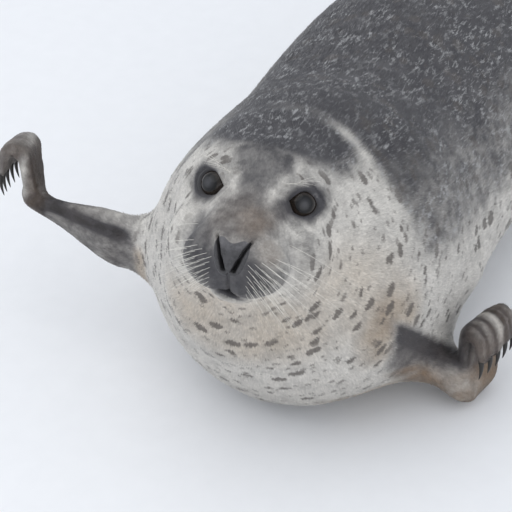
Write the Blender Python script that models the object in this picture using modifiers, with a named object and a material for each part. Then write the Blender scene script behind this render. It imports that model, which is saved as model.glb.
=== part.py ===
"""A spotted seal lying on its belly, life size, as a still museum model.

Blender 4.5 script, in metres, +Z up. The seal lies along Y with its nose towards -Y and its own left
side on +X. Its neck is drawn back into the chest, its head is turned a little to its left, its right
fore flipper is held out in the air and its left one rests on the ground. The origin is under the
middle of the bounding box, at the level of the ground.

The flesh is modelled whole: lofts and ellipsoids are melted together by a voxel remesh, the face is
shaped with soft brush strokes, and the whole is then parted into its named pieces by thin cuts.
The eyes and the claws are pieces of their own, set into sockets in the flesh.
"""

import math

import bmesh
import bpy
from mathutils import Matrix, Vector

# ---------------------------------------------------------------- driving dimensions, in metres
MM = 0.001
GAP = 0.3 * MM  # space between neighbouring pieces
SINK = 7 * MM  # how far the soft belly would reach below the ground before it is pressed flat
FLESH_VOXEL = 4.0 * MM
FLESH_TRIANGLES = 3700  # before the sockets and the cuts, which add about as many again

# The trunk, from the chest to the hips: distance along Y, half width, height of the back, and the
# height of the widest line.
TRUNK_STATIONS = (
    (-0.060, 0.085, 0.240, 0.125),
    (-0.010, 0.136, 0.300, 0.130),
    (0.060, 0.165, 0.325, 0.132),
    (0.150, 0.175, 0.333, 0.132),
    (0.290, 0.182, 0.336, 0.132),
    (0.450, 0.185, 0.323, 0.128),
    (0.610, 0.170, 0.287, 0.116),
    (0.750, 0.143, 0.233, 0.098),
    (0.870, 0.104, 0.178, 0.078),
    (0.960, 0.071, 0.137, 0.062),
    (1.020, 0.044, 0.104, 0.054),
    (1.052, 0.018, 0.076, 0.050),
)
SPINE_X = 0.032  # the trunk lies this far to the left of the point between the fore flippers
BEND_START, BEND_REACH, BEND = 0.35, 0.65, 0.055  # the hips swing round to the left
TRUNK_RINGS = 56
RING_POINTS = 48
BELLY_FLATNESS = 0.72  # exponent of the lower half of a section: under 1 is flatter than round

# The head: the point midway between the fronts of the eyes, and the way the snout points. All
# numbers of the head below are millimetres sideways (to the left), forward and up from that point.
HEAD_AT = Vector((0.036, -0.102, 0.315))
HEAD_YAW = math.radians(11)  # towards the seal's left
HEAD_PITCH = math.radians(14)  # snout raised
HEAD_ROLL = math.radians(-5)  # left eye lower
HEAD_STATIONS = (  # forward, half width, top, bottom, widest level
    (88, 12, -20, -50, -34),
    (80, 25, -13, -66, -38),
    (66, 36, -7, -82, -42),
    (47, 43, 2, -96, -46),
    (24, 51, 11, -110, -48),
    (0, 67, 26, -128, -46),
    (-28, 86, 43, -150, -46),
    (-60, 100, 57, -168, -48),
    (-96, 108, 61, -186, -54),
)
HEAD_RINGS = 31
HEAD_LUMPS = (  # centre and radii of what is added on the middle line
    ((0, 45, -82), (26, 28, 18)),  # chin
    ((0, 71, -34), (18, 15, 18)),  # tip of the snout
    ((0, -26, -120), (94, 54, 88)),  # throat
)
PAIRED_HEAD_LUMPS = (  # the same on both sides, given for the left
    ((26, 54, -51), (28, 28, 31)),  # whisker pad
    ((37, -15, 2), (24, 22, 22)),  # rim of the eye socket
    ((48, -4, -62), (36, 44, 46)),  # cheek
)
NOSE_PAD = ((0, 80, -33), (17.5, 14, 16))  # the bare leather: centre and radii
NOSTRIL_TOP, NOSTRIL_BOTTOM = (15, 75, -16), (5, 85, -46)
NOSTRIL_WIDTH, NOSTRIL_DEPTH = 4.0 * MM, 9.0 * MM
LOWER_JAW = ((0, 38, -100), (44, 70, 27))  # centre and radii

EYE_RADIUS = 18.5 * MM
EYE_CENTRE = (40.6, -15.6, -6.6)
EYE_GAZE = (0.38, 0.80, 0.34)
EYE_OPENING = (15.5 * MM, 12.0 * MM)  # half width and half height between the lids
EYE_CORNER = (2.0 * MM, 2.5 * MM)  # how far the inner corner reaches inwards and down
EYE_OPENING_NEAR, EYE_OPENING_FAR, EYE_OPENING_FLARE = 8.0 * MM, 34.0 * MM, 1.35
LID_THICKNESS = 2.4 * MM
LID_POINTS = 18

# The neck is drawn back, so that it swells into a ball of fat under and round the head. Each lump
# is a centre and its radii.
NECK_LUMPS = (
    ((0.029, 0.003, 0.159), (0.165, 0.139, 0.159 + 2 * SINK)),  # chest
    ((0.031, 0.006, 0.190), (0.126, 0.112, 0.164)),  # nape
    ((0.042, 0.085, 0.170), (0.160, 0.150, 0.178)),  # shoulders
    ((0.088, 0.070, 0.100), (0.104, 0.100, 0.108)),  # left shoulder, pressed outwards
)
# The fold round the neck: where it crosses the nape, its lean, its depth and its half width.
NECK_FOLD_Y, NECK_FOLD_Z, NECK_FOLD_LEAN = 0.008, 0.349, 0.28
NECK_FOLD_DEPTH, NECK_FOLD_WIDTH = 7.0 * MM, 12.0 * MM
NECK_FOLD_LOWEST, NECK_FOLD_RAMP = 0.08, 0.12  # it starts at this height and is full this much higher

DIGITS = 5
DIGIT_PITCH = 0.0145  # between neighbouring digits of a fore flipper
DIGIT_RADIUS = 0.0085
DIGIT_LENGTHS = (0.058, 0.058, 0.056, 0.052, 0.048)  # first to fifth, past the knuckles
KNUCKLE_SHARE = 0.60  # the share of a digit over which it curls; the rest of it is straight
CLAW_ROOT = 3.5 * MM  # length of a claw inside the toe
CLAW_POINTS = 6
# Length, half width, half height, bend in radians and number of steps along it.
FORE_CLAW = (25.0 * MM, 4.1 * MM, 3.7 * MM, 0.60, 4)
HIND_CLAW = (13.0 * MM, 2.6 * MM, 2.3 * MM, 0.30, 3)

TAIL_STATIONS = (  # distance along Y, height, half width, half thickness
    (0.985, 0.066, 0.026, 0.020),
    (1.045, 0.058, 0.021, 0.012),
    (1.105, 0.050, 0.012, 0.006),
)


# ---------------------------------------------------------------- scene and materials
def clear_scene():
    for item in list(bpy.data.objects):
        bpy.data.objects.remove(item)


def new_collection(name):
    collection = bpy.data.collections.new(name)
    bpy.context.scene.collection.children.link(collection)
    return collection


def finish(name, colour, roughness, metallic=0.0):
    """A material with one colour."""
    made = bpy.data.materials.new(name)
    made.use_nodes = True
    shader = made.node_tree.nodes["Principled BSDF"]
    shader.inputs["Base Color"].default_value = (*colour, 1.0)
    shader.inputs["Roughness"].default_value = roughness
    shader.inputs["Metallic"].default_value = metallic
    made.diffuse_color = (*colour, 1.0)
    return made


def new_object(name, shape, collection, made_of=None):
    """Turns a bmesh into an object of a collection, with its faces pointing out."""
    bmesh.ops.recalc_face_normals(shape, faces=shape.faces)
    mesh = bpy.data.meshes.new(name)
    shape.to_mesh(mesh)
    shape.free()
    if made_of:
        mesh.materials.append(made_of)
    item = bpy.data.objects.new(name, mesh)
    collection.objects.link(item)
    return item


def new_cutter(name, shape, guides):
    cutter = new_object(name, shape, guides)
    cutter.hide_render = True
    cutter.display_type = "WIRE"
    return cutter


def apply_modifiers(item):
    """Replaces the object's mesh with its evaluated one and drops its modifiers."""
    graph = bpy.context.evaluated_depsgraph_get()
    mesh = bpy.data.meshes.new_from_object(item.evaluated_get(graph))
    item.modifiers.clear()
    item.data = mesh


def combine(item, other, operation):
    """Booleans the object with another one: DIFFERENCE or INTERSECT."""
    step = item.modifiers.new(other.name, "BOOLEAN")
    step.operation, step.solver, step.object = operation, "EXACT", other
    apply_modifiers(item)


# ---------------------------------------------------------------- frames
def head_directions():
    """The head's own left, forward and up, as unit vectors."""
    forward = Vector((
        math.sin(HEAD_YAW) * math.cos(HEAD_PITCH),
        -math.cos(HEAD_YAW) * math.cos(HEAD_PITCH),
        math.sin(HEAD_PITCH),
    ))
    level_left = Vector((math.cos(HEAD_YAW), math.sin(HEAD_YAW), 0.0))
    level_up = forward.cross(level_left)
    left = level_left * math.cos(HEAD_ROLL) + level_up * math.sin(HEAD_ROLL)
    up = level_up * math.cos(HEAD_ROLL) - level_left * math.sin(HEAD_ROLL)
    return left, forward, up


def axes_matrix(at, across, along, normal):
    """A frame at a point, with X across, Y along and Z on the normal."""
    return Matrix.Translation(at) @ Matrix((across, along, normal)).transposed().to_4x4()


LEFT, FORWARD, UP = head_directions()
HEAD_FRAME = axes_matrix(HEAD_AT, LEFT, FORWARD, UP)


def on_side(numbers, side):
    """Numbers given for the left of the head, on the side 1 (left) or -1 (right)."""
    sideways, forward, up = numbers
    return Vector((side * sideways, forward, up))


def in_head(sideways, forward, up):
    """The place in space of a point of the head given in millimetres."""
    return HEAD_FRAME @ (Vector((sideways, forward, up)) * MM)


def head_move(sideways, forward, up):
    return (LEFT * sideways + FORWARD * forward + UP * up) * MM


def eye_frame(side):
    """Frame of an eyeball: Z is its gaze, X runs level and outwards, Y up."""
    gaze = HEAD_FRAME.to_3x3() @ on_side(EYE_GAZE, side).normalized()
    level = UP.cross(gaze).normalized()
    if level.dot(LEFT) * side < 0:
        level = -level
    rise = (UP - gaze * UP.dot(gaze)).normalized()
    return axes_matrix(in_head(*on_side(EYE_CENTRE, side)), level, rise, gaze)


def facing(at, normal):
    """A frame at a point whose Z lies along the normal."""
    normal = Vector(normal).normalized()
    across = normal.orthogonal().normalized()
    return axes_matrix(Vector(at), across, normal.cross(across), normal)


def spine_x(y):
    """How far to the left the middle of the body lies at a distance along Y."""
    return SPINE_X + BEND * max(0.0, (y - BEND_START) / BEND_REACH) ** 2


# ---------------------------------------------------------------- shapes
def add_ellipsoid(shape, frame, centre, radii, segments=40):
    """Adds an ellipsoid. Centre and radii are metres along the frame's own directions."""
    place = frame @ Matrix.Translation(Vector(centre)) @ Matrix.Diagonal((*radii, 1.0))
    bmesh.ops.create_uvsphere(
        shape, u_segments=segments, v_segments=segments // 2, radius=1.0, matrix=place
    )


def add_head_ellipsoid(shape, centre, radii, grow=0.0, segments=40):
    """Adds an ellipsoid of the head, given in millimetres, larger all round by grow in metres."""
    grown = [radius * MM + grow for radius in radii]
    add_ellipsoid(shape, HEAD_FRAME, Vector(centre) * MM, grown, segments)


def smooth_between(keys, share):
    """Catmull-Rom value of rows of numbers at a share of the way along them."""
    position = share * (len(keys) - 1)
    start = min(int(position), len(keys) - 2)
    t = position - start
    before, here = keys[max(start - 1, 0)], keys[start]
    after, beyond = keys[start + 1], keys[min(start + 2, len(keys) - 1)]
    return [
        0.5 * (2 * b + (c - a) * t + (2 * a - 5 * b + 4 * c - d) * t**2
               + (3 * b - a - 3 * c + d) * t**3)
        for a, b, c, d in zip(before, here, after, beyond)
    ]


def add_loft(shape, rings):
    """Adds a closed skin over rings of points that each have the same number of points."""
    loops = [[shape.verts.new(point) for point in ring] for ring in rings]
    for ring, following in zip(loops, loops[1:]):
        for i in range(len(ring)):
            j = (i + 1) % len(ring)
            shape.faces.new((ring[i], ring[j], following[j], following[i]))
    shape.faces.new(loops[0][::-1])
    shape.faces.new(loops[-1])


def add_prism(shape, frame, outline, near, far, flare=1.0):
    """Adds a prism along the frame's Z between two distances, wider at the far end by flare."""
    add_loft(shape, [
        [frame @ Vector((x * wide, y * wide, z)) for x, y in outline]
        for z, wide in ((near, 1.0), (far, flare))
    ])


def add_limb(shape, stations, across, rings=24, points=20, first_across=None):
    """Adds a flattened tube. A station is a point, a half width and a half thickness.

    The width lies along across. With first_across it lies along that up to a third of the way, and
    has turned to across at two thirds.
    """
    rows = [(*point, half_width, half_thick) for point, half_width, half_thick in stations]
    line = [smooth_between(rows, i / (rings - 1)) for i in range(rings)]
    loops = []
    for i, (x, y, z, half_width, half_thick) in enumerate(line):
        ahead, behind = line[min(i + 1, rings - 1)], line[max(i - 1, 0)]
        along = (Vector(ahead[:3]) - Vector(behind[:3])).normalized()
        wide = across
        if first_across is not None:
            turned = min(1.0, max(0.0, 3.0 * i / (rings - 1) - 1.0))
            wide = first_across.lerp(across, turned)
        side = (wide - along * wide.dot(along)).normalized()
        normal = along.cross(side)
        loops.append([
            Vector((x, y, z))
            + side * half_width * math.cos(2 * math.pi * k / points)
            + normal * half_thick * math.sin(2 * math.pi * k / points)
            for k in range(points)
        ])
    add_loft(shape, loops)


# ---------------------------------------------------------------- trunk, head and neck
def trunk_ring(y, half_width, top, widest):
    """A section across the trunk: round above its widest line, flattened below it."""
    ring = []
    for i in range(RING_POINTS):
        angle = 2 * math.pi * i / RING_POINTS
        rise = math.sin(angle)
        if rise >= 0:
            z = widest + (top - widest) * rise
        else:
            z = widest - (widest + SINK) * abs(rise) ** BELLY_FLATNESS
        ring.append(Vector((spine_x(y) + half_width * math.cos(angle), y, z)))
    return ring


def add_trunk(shape):
    shares = [i / (TRUNK_RINGS - 1) for i in range(TRUNK_RINGS)]
    add_loft(shape, [trunk_ring(*smooth_between(TRUNK_STATIONS, share)) for share in shares])


def add_tail(shape):
    stations = [
        (Vector((spine_x(y), y, z)), half_width, half_thick)
        for y, z, half_width, half_thick in TAIL_STATIONS
    ]
    add_limb(shape, stations, Vector((1.0, 0.0, 0.0)))


def head_ring(forward, half_width, top, bottom, widest):
    """A section across the head, taller or shallower below its widest level than above it."""
    ring = []
    for i in range(RING_POINTS):
        angle = 2 * math.pi * i / RING_POINTS
        reach = top - widest if math.sin(angle) > 0 else widest - bottom
        ring.append(in_head(half_width * math.cos(angle), forward, widest + reach * math.sin(angle)))
    return ring


def add_head(shape):
    """The head from the tip of the snout back into the neck, with its pads, cheeks and eyelids."""
    shares = [i / (HEAD_RINGS - 1) for i in range(HEAD_RINGS)]
    add_loft(shape, [head_ring(*smooth_between(HEAD_STATIONS, share)) for share in shares])
    for centre, radii in HEAD_LUMPS:
        add_head_ellipsoid(shape, centre, radii)
    for side in (-1, 1):
        for centre, radii in PAIRED_HEAD_LUMPS:
            add_head_ellipsoid(shape, on_side(centre, side), radii)
        lids = (EYE_RADIUS + LID_THICKNESS,) * 3
        add_ellipsoid(shape, eye_frame(side), (0, 0, 0), lids)


def add_neck(shape):
    for centre, radii in NECK_LUMPS:
        add_ellipsoid(shape, Matrix.Identity(4), centre, radii, 64)


# ---------------------------------------------------------------- the fore flippers
class ForeFlipper:
    """One fore flipper: an arm, a hand that rises from the wrist and fingers hooked outwards."""

    def __init__(self, side, points, root_turn, hand_turn, edge_dip, lean, arm_sizes, hand_rise, curl):
        self.side = side
        self.shoulder, self.elbow, self.wrist = map(Vector, points)
        self.first_across = Vector((0.0, math.sin(root_turn), -math.cos(root_turn)))
        # The hand's width runs backwards, its rear edge lower by edge_dip, and hand_turn turns its
        # palm towards the front.
        outward = Vector((side * math.cos(hand_turn), -math.sin(hand_turn), 0.0))
        backward = Vector((side * math.sin(hand_turn), math.cos(hand_turn), 0.0))
        upwards = Vector((0.0, 0.0, 1.0))
        self.across = backward * math.cos(edge_dip) - upwards * math.sin(edge_dip)
        upright = backward * math.sin(edge_dip) + upwards * math.cos(edge_dip)
        self.along = upright * math.cos(lean) + outward * math.sin(lean)
        self.palm = outward * math.cos(lean) - upright * math.sin(lean)
        self.arm_sizes = arm_sizes
        self.hand_rise = hand_rise
        self.curl = curl

    def add_limb(self, shape):
        """The arm, down to the heel of the hand."""
        shoulder_size, elbow_size, wrist_size = self.arm_sizes
        heel = self.wrist + self.along * self.hand_rise * 0.35
        stations = (
            (self.shoulder, *shoulder_size),
            (self.elbow, *elbow_size),
            (self.wrist, *wrist_size),
            (heel, wrist_size[0], wrist_size[1] * 0.85),
        )
        add_limb(shape, stations, self.across, first_across=self.first_across)

    def digit_line(self, number):
        """Points and radii along one digit, from inside the wrist to the root of its claw."""
        spread = number - (DIGITS - 1) / 2
        root = self.wrist + self.across * spread * DIGIT_PITCH * 0.55
        point = self.wrist + self.across * spread * DIGIT_PITCH + self.along * self.hand_rise
        line = [(root, DIGIT_RADIUS * 1.12), (point, DIGIT_RADIUS * 1.05)]
        bends = 9
        for bend in range(1, bends + 1):
            turn = self.curl * min(1.0, (bend - 0.5) / bends / KNUCKLE_SHARE)
            heading = self.along * math.cos(turn) + self.palm * math.sin(turn)
            point = point + heading * DIGIT_LENGTHS[number] / bends
            line.append((point, DIGIT_RADIUS * (1.03 - 0.30 * bend / bends)))
        return line

    def claw_frame(self, number):
        """Frame of a claw: Y runs out of the fingertip and Z is the back of the finger."""
        line = self.digit_line(number)
        heading = (line[-1][0] - line[-2][0]).normalized()
        back = self.along * math.sin(self.curl) - self.palm * math.cos(self.curl)
        back = (back - heading * back.dot(heading)).normalized()
        return axes_matrix(line[-1][0], heading.cross(back), heading, back)


RIGHT_FLIPPER = ForeFlipper(
    side=-1,
    points=((-0.105, 0.000, 0.118), (-0.211, 0.000, 0.130), (-0.291, 0.010, 0.140)),
    root_turn=math.radians(0),
    hand_turn=math.radians(20),
    edge_dip=math.radians(18),
    lean=math.radians(6),
    arm_sizes=((0.064, 0.032), (0.031, 0.0165), (0.0225, 0.0115)),
    hand_rise=0.056,
    curl=math.radians(165),
)
LEFT_FLIPPER = ForeFlipper(
    side=1,
    points=((0.118, 0.006, 0.075), (0.172, 0.034, 0.044), (0.222, 0.060, 0.020)),
    root_turn=math.radians(60),
    hand_turn=math.radians(20),
    edge_dip=math.radians(0),
    lean=math.radians(0),
    arm_sizes=((0.048, 0.036), (0.038, 0.027), (0.033, 0.017)),
    hand_rise=0.076,
    curl=math.radians(165),
)


# ---------------------------------------------------------------- the hind flippers
class HindFlipper:
    """One hind flipper, trailing on the ground, its digits half spread."""

    HIP = Vector((0.030, 0.930, 0.060))  # sideways from the spine, along Y, and up
    ANKLE = Vector((0.052, 1.035, 0.040))
    HEEL = Vector((0.066, 1.090, 0.026))
    SIZES = ((0.034, 0.036), (0.030, 0.025), (0.034, 0.015))  # half width and half thickness
    FAN = (math.radians(-7), math.radians(24))  # inner and outer digit, from straight back
    LENGTHS = (0.178, 0.150, 0.138, 0.150, 0.186)  # inner to outer, from the heel
    ROOT_WIDTH = 0.048  # over the roots of the digits
    RADIUS = 0.0095
    DROP = 0.016  # how far a digit sinks towards the ground along its length
    TILT = math.radians(16)  # the outer edge is raised

    def __init__(self, side):
        self.side = side
        self.across = Vector((side * math.cos(self.TILT), 0.0, math.sin(self.TILT)))

    def placed(self, point):
        return Vector((spine_x(point.y) + point.x * self.side, point.y, point.z))

    def add_limb(self, shape):
        """The lower leg, down to the heel."""
        points = (self.placed(point) for point in (self.HIP, self.ANKLE, self.HEEL))
        stations = [(point, *size) for point, size in zip(points, self.SIZES)]
        add_limb(shape, stations, self.across)

    def digit_line(self, number):
        """Points and radii along one digit, from the heel to the root of its claw."""
        share = number / (DIGITS - 1)
        angle = self.FAN[0] + (self.FAN[1] - self.FAN[0]) * share
        root = self.placed(self.HEEL) + self.across * (share - 0.5) * self.ROOT_WIDTH
        heading = self.across * math.sin(angle) + Vector((0.0, math.cos(angle), 0.0))
        line, steps = [], 6
        for step in range(steps + 1):
            along = step / steps
            radius = self.RADIUS * (1.0 - 0.42 * along)
            point = root + heading * self.LENGTHS[number] * along
            point.z = max(point.z - self.DROP * along, self.RADIUS * (0.87 - 0.32 * along))
            line.append((point, radius))
        return line

    def claw_frame(self, number):
        """Frame of a claw: Y runs out of the toe and Z is the back of the toe."""
        line = self.digit_line(number)
        heading = (line[-1][0] - line[-2][0]).normalized()
        side = (self.across - heading * self.across.dot(heading)).normalized()
        back = side.cross(heading) * self.side
        return axes_matrix(line[-1][0], heading.cross(back), heading, back)


FORE_FLIPPERS = {"right": RIGHT_FLIPPER, "left": LEFT_FLIPPER}
HIND_FLIPPERS = {"right": HindFlipper(-1), "left": HindFlipper(1)}


def add_digits(shape, flipper):
    for number in range(DIGITS):
        line = flipper.digit_line(number)
        stations = [(point, radius, radius) for point, radius in line]
        add_limb(shape, stations, flipper.across, rings=22, points=12)
        tip, radius = line[-1]
        add_ellipsoid(shape, Matrix.Identity(4), tip, (radius,) * 3, 16)


def add_web(shape, flipper, share_of_digit):
    """Skin between neighbouring digits: thin strips that run along them."""
    for number in range(DIGITS - 1):
        pairs = list(zip(flipper.digit_line(number), flipper.digit_line(number + 1)))
        kept = round(share_of_digit * len(pairs))
        stations = [
            ((a + b) / 2, (a - b).length * 0.5, radius * 0.62)
            for (a, radius), (b, _) in pairs[:kept]
        ]
        add_limb(shape, stations, flipper.across, rings=18, points=12)


# ---------------------------------------------------------------- the flesh, whole
def whole_flesh(collection):
    """Everything that is flesh, as one object of overlapping closed shapes."""
    shape = bmesh.new()
    add_trunk(shape)
    add_tail(shape)
    add_neck(shape)
    add_head(shape)
    for flippers, web in ((FORE_FLIPPERS, 0.85), (HIND_FLIPPERS, 0.9)):
        for flipper in flippers.values():
            flipper.add_limb(shape)
            add_digits(shape, flipper)
            add_web(shape, flipper, web)
    return new_object("flesh", shape, collection)


def softness(point):
    """1 on the trunk and neck, whose forms are broad, falling to 0 on the face and the flippers."""
    in_face = HEAD_FRAME.inverted() @ point
    off_face = min(1.0, max(0.0, (in_face.length - 88 * MM) / (32 * MM)))
    if in_face.y < -30 * MM:
        off_face = max(off_face, min(1.0, -in_face.y / (30 * MM) - 1.0))
    off_flippers = 1.0
    if point.y < 0.20:
        off_flippers = min(1.0, max(0.0, (0.185 - abs(point.x - SPINE_X)) / 0.020))
    elif point.y > 0.95:
        off_flippers = 0.35 if point.y < 1.06 else 0.0
    return min(off_face, off_flippers)


def in_front(point):
    """1 on the head and throat, 0 elsewhere."""
    return 1.0 if abs(point.x - SPINE_X) < 0.16 and point.y < 0.0 else 0.0


def melt(flesh):
    """Melts the overlapping shapes into one skin and softens the creases between them."""
    remesh = flesh.modifiers.new("melt", "REMESH")
    remesh.mode = "VOXEL"
    remesh.voxel_size = FLESH_VOXEL
    apply_modifiers(flesh)
    for name, weight, passes in (("body", softness, 100), ("face", in_front, 8)):
        group = flesh.vertex_groups.new(name=name)
        for vertex in flesh.data.vertices:
            group.add([vertex.index], weight(vertex.co), "REPLACE")
        soften = flesh.modifiers.new("soften_" + name, "SMOOTH")
        soften.factor, soften.iterations, soften.vertex_group = 0.5, passes, name
    soften = flesh.modifiers.new("soften_all", "SMOOTH")
    soften.factor, soften.iterations = 0.5, 3
    apply_modifiers(flesh)
    flesh.vertex_groups.clear()


# ---------------------------------------------------------------- brush strokes
def push(mesh, centre, reach, move):
    """Moves the points near a centre, most at the centre and not at all past the reach."""
    for vertex in mesh.vertices:
        distance = (vertex.co - centre).length
        if distance < reach:
            fall = 1.0 - (distance / reach) ** 2
            vertex.co += move * fall * fall


def shape_face(mesh):
    """Hollows beside the snout and the eyes, the brow, and the groove under the nose."""
    for side in (-1, 1):
        push(mesh, in_head(side * 30, 22, -18), 24 * MM, head_move(side * -3.0, -2.0, 0.0))
        push(mesh, in_head(side * 46, 2, 0), 26 * MM, head_move(side * -2.0, -4.0, 0.0))
        push(mesh, in_head(side * 27, 6, 20), 20 * MM, head_move(0.0, 2.0, 2.0))
    push(mesh, in_head(0, 84, -58), 11 * MM, head_move(0.0, -4.0, 0.0))
    push(mesh, in_head(0, 76, -76), 16 * MM, head_move(0.0, -5.0, 0.0))


def crease_neck(mesh):
    """The shallow fold round the drawn-back neck, deepest at the top and sides."""
    for vertex in mesh.vertices:
        x, y, z = vertex.co
        behind = y - NECK_FOLD_Y - NECK_FOLD_LEAN * (z - NECK_FOLD_Z)
        if abs(behind) > 4 * NECK_FOLD_WIDTH or z < NECK_FOLD_LOWEST:
            continue
        depth = NECK_FOLD_DEPTH * math.exp(-((behind / NECK_FOLD_WIDTH) ** 2))
        depth *= min(1.0, (z - NECK_FOLD_LOWEST) / NECK_FOLD_RAMP)
        inward = Vector((SPINE_X - x, 0.0, 0.15 - z)).normalized()
        vertex.co += inward * depth


def detail(point):
    """How fine the flesh is kept at a point, from 0 to 1."""
    in_face = HEAD_FRAME.inverted() @ point
    if in_face.y > -0.040 and in_face.length < 0.115:
        return 0.66  # face
    if abs(point.x) > 0.20 and point.y < 0.14:
        return 0.70  # hands
    if point.y > 1.0:
        return 0.42  # hind flippers
    if abs(point.x - SPINE_X) > 0.165 and point.y < 0.1:
        return 0.35  # arms
    return 0.20 if point.y < 0.06 else 0.06  # neck and trunk


def thin_out(flesh):
    """Brings the flesh down to its number of triangles, keeping more on the head and flippers."""
    coarse = flesh.vertex_groups.new(name="coarse")
    for vertex in flesh.data.vertices:
        coarse.add([vertex.index], 1.0 - detail(vertex.co), "REPLACE")
    triangles = sum(len(face.vertices) - 2 for face in flesh.data.polygons)
    collapse = flesh.modifiers.new("thin_out", "DECIMATE")
    collapse.ratio = FLESH_TRIANGLES / triangles
    collapse.vertex_group = "coarse"
    collapse.vertex_group_factor = 0.6
    collapse.use_collapse_triangulate = True
    apply_modifiers(flesh)
    flesh.vertex_groups.clear()


# ---------------------------------------------------------------- eyes, nostrils and claws
def add_eyeball(shape, side, radius):
    bmesh.ops.create_icosphere(shape, subdivisions=3, radius=radius, matrix=eye_frame(side))


def lid_outline():
    """Outline between the lids, drawn in the eye's frame: oval, with a dip at the inner corner."""
    outline = []
    for i in range(LID_POINTS):
        angle = 2 * math.pi * i / LID_POINTS
        inner = max(0.0, -math.cos(angle)) ** 6
        x = EYE_OPENING[0] * math.cos(angle) - EYE_CORNER[0] * inner
        y = EYE_OPENING[1] * math.sin(angle) - EYE_CORNER[1] * inner
        outline.append((x, y))
    return outline


def eye_sockets(guides):
    """The round sockets behind the lids, and the openings between the lids."""
    sockets, openings = bmesh.new(), bmesh.new()
    for side in (-1, 1):
        add_eyeball(sockets, side, EYE_RADIUS + GAP)
        add_prism(
            openings, eye_frame(side), lid_outline(),
            EYE_OPENING_NEAR, EYE_OPENING_FAR, EYE_OPENING_FLARE,
        )
    return new_cutter("sockets", sockets, guides), new_cutter("lid_openings", openings, guides)


def nostrils(guides):
    """Two slits that run down towards each other."""
    shape = bmesh.new()
    for side in (-1, 1):
        top, bottom = (in_head(*on_side(end, side)) for end in (NOSTRIL_TOP, NOSTRIL_BOTTOM))
        along = (bottom - top).normalized()
        normal = (FORWARD - along * FORWARD.dot(along)).normalized()
        frame = axes_matrix((top + bottom) / 2, along.cross(normal), along, normal)
        radii = (NOSTRIL_WIDTH / 2, (bottom - top).length / 2, NOSTRIL_DEPTH)
        add_ellipsoid(shape, frame, (0, 0, 0), radii, 8)
    return new_cutter("nostrils", shape, guides)


def add_claw(shape, frame, size, grow=0.0):
    """A curved cone: Y out of the toe, bending down from the back of the toe."""
    length, half_width, half_height, bend, steps = size
    rings = []
    for step in range(steps + 1):
        share = step / steps
        heading = Vector((0.0, math.cos(bend * share), -math.sin(bend * share)))
        lift = Vector((0.0, math.sin(bend * share), math.cos(bend * share)))
        centre = Vector((0.0, length * share - CLAW_ROOT, -length * 0.5 * bend * share**2))
        if step == 0:
            centre -= heading * grow
        slim = max(0.12, (1.0 - share) ** 0.62)
        ring = []
        for k in range(CLAW_POINTS):
            angle = 2 * math.pi * k / CLAW_POINTS
            across = (half_width * slim + grow) * math.cos(angle)
            up = (half_height * slim + grow) * math.sin(angle)
            ring.append(frame @ (centre + Vector((across, 0.0, 0.0)) + lift * up))
        rings.append(ring)
    add_loft(shape, rings)


def all_claws():
    """Name, frame and size of every claw."""
    for end, flippers, size in (("fore", FORE_FLIPPERS, FORE_CLAW), ("hind", HIND_FLIPPERS, HIND_CLAW)):
        for side, flipper in flippers.items():
            for number in range(DIGITS):
                yield f"claw_{end}_{side}_{number + 1}", flipper.claw_frame(number), size


def claw_sockets(guides):
    shape = bmesh.new()
    for _, frame, size in all_claws():
        add_claw(shape, frame, size, GAP)
    return new_cutter("claw_sockets", shape, guides)


def ground(guides):
    """The block under the ground, which presses the belly and the flippers flat."""
    shape = bmesh.new()
    place = Matrix.Translation((0.0, 0.5, -0.05)) @ Matrix.Diagonal((1.2, 2.2, 0.1, 1.0))
    bmesh.ops.create_cube(shape, size=1.0, matrix=place)
    return new_cutter("ground", shape, guides)


# ---------------------------------------------------------------- parting the flesh
def flesh_cuts():
    """Each thin cut across the flesh: a point, the direction across the cut, and its radius."""
    backward = (0.0, 1.0, 0.0)
    cuts = [
        (in_head(0, -28, -30), FORWARD * 0.80 + UP * 0.60, 0.190),  # head from neck
        ((0.04, 0.125, 0.15), backward, 0.260),  # neck from trunk
        ((0.04, 0.450, 0.15), backward, 0.260),  # front from rear of the trunk
        ((0.05, 0.800, 0.12), backward, 0.200),  # trunk from hips
        ((spine_x(1.060), 1.060, 0.052), backward, 0.028),  # hips from tail
    ]
    right, left = RIGHT_FLIPPER, LEFT_FLIPPER
    cuts.append((right.shoulder.lerp(right.elbow, 0.78), right.elbow - right.shoulder, 0.075))
    cuts.append((left.elbow.lerp(left.wrist, 0.60), (1.0, 0.0, 0.0), 0.062))
    for flipper in HIND_FLIPPERS.values():
        cuts.append((flipper.placed(Vector((0.054, 1.056, 0.034))), backward, 0.038))
    return cuts


def parting_slabs(guides):
    """Thin round slabs that part the flesh, each a little wider than the body there."""
    shape = bmesh.new()
    for at, normal, radius in flesh_cuts():
        turns = [2 * math.pi * i / 12 for i in range(12)]
        outline = [(radius * math.cos(turn), radius * math.sin(turn)) for turn in turns]
        add_prism(shape, facing(at, normal), outline, -GAP / 2, GAP / 2)
    return new_cutter("parting_slabs", shape, guides)


def take_out(flesh, name, region, guides):
    """Cuts an ellipsoid of the head out of the flesh and returns it as an object of its own."""
    piece = flesh.copy()
    piece.data = flesh.data.copy()
    guides.objects.link(piece)
    inner, outer = bmesh.new(), bmesh.new()
    add_head_ellipsoid(inner, *region, segments=16)
    add_head_ellipsoid(outer, *region, grow=GAP, segments=16)
    combine(piece, new_cutter(name + "_region", inner, guides), "INTERSECT")
    combine(flesh, new_cutter(name + "_space", outer, guides), "DIFFERENCE")
    return piece


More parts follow.
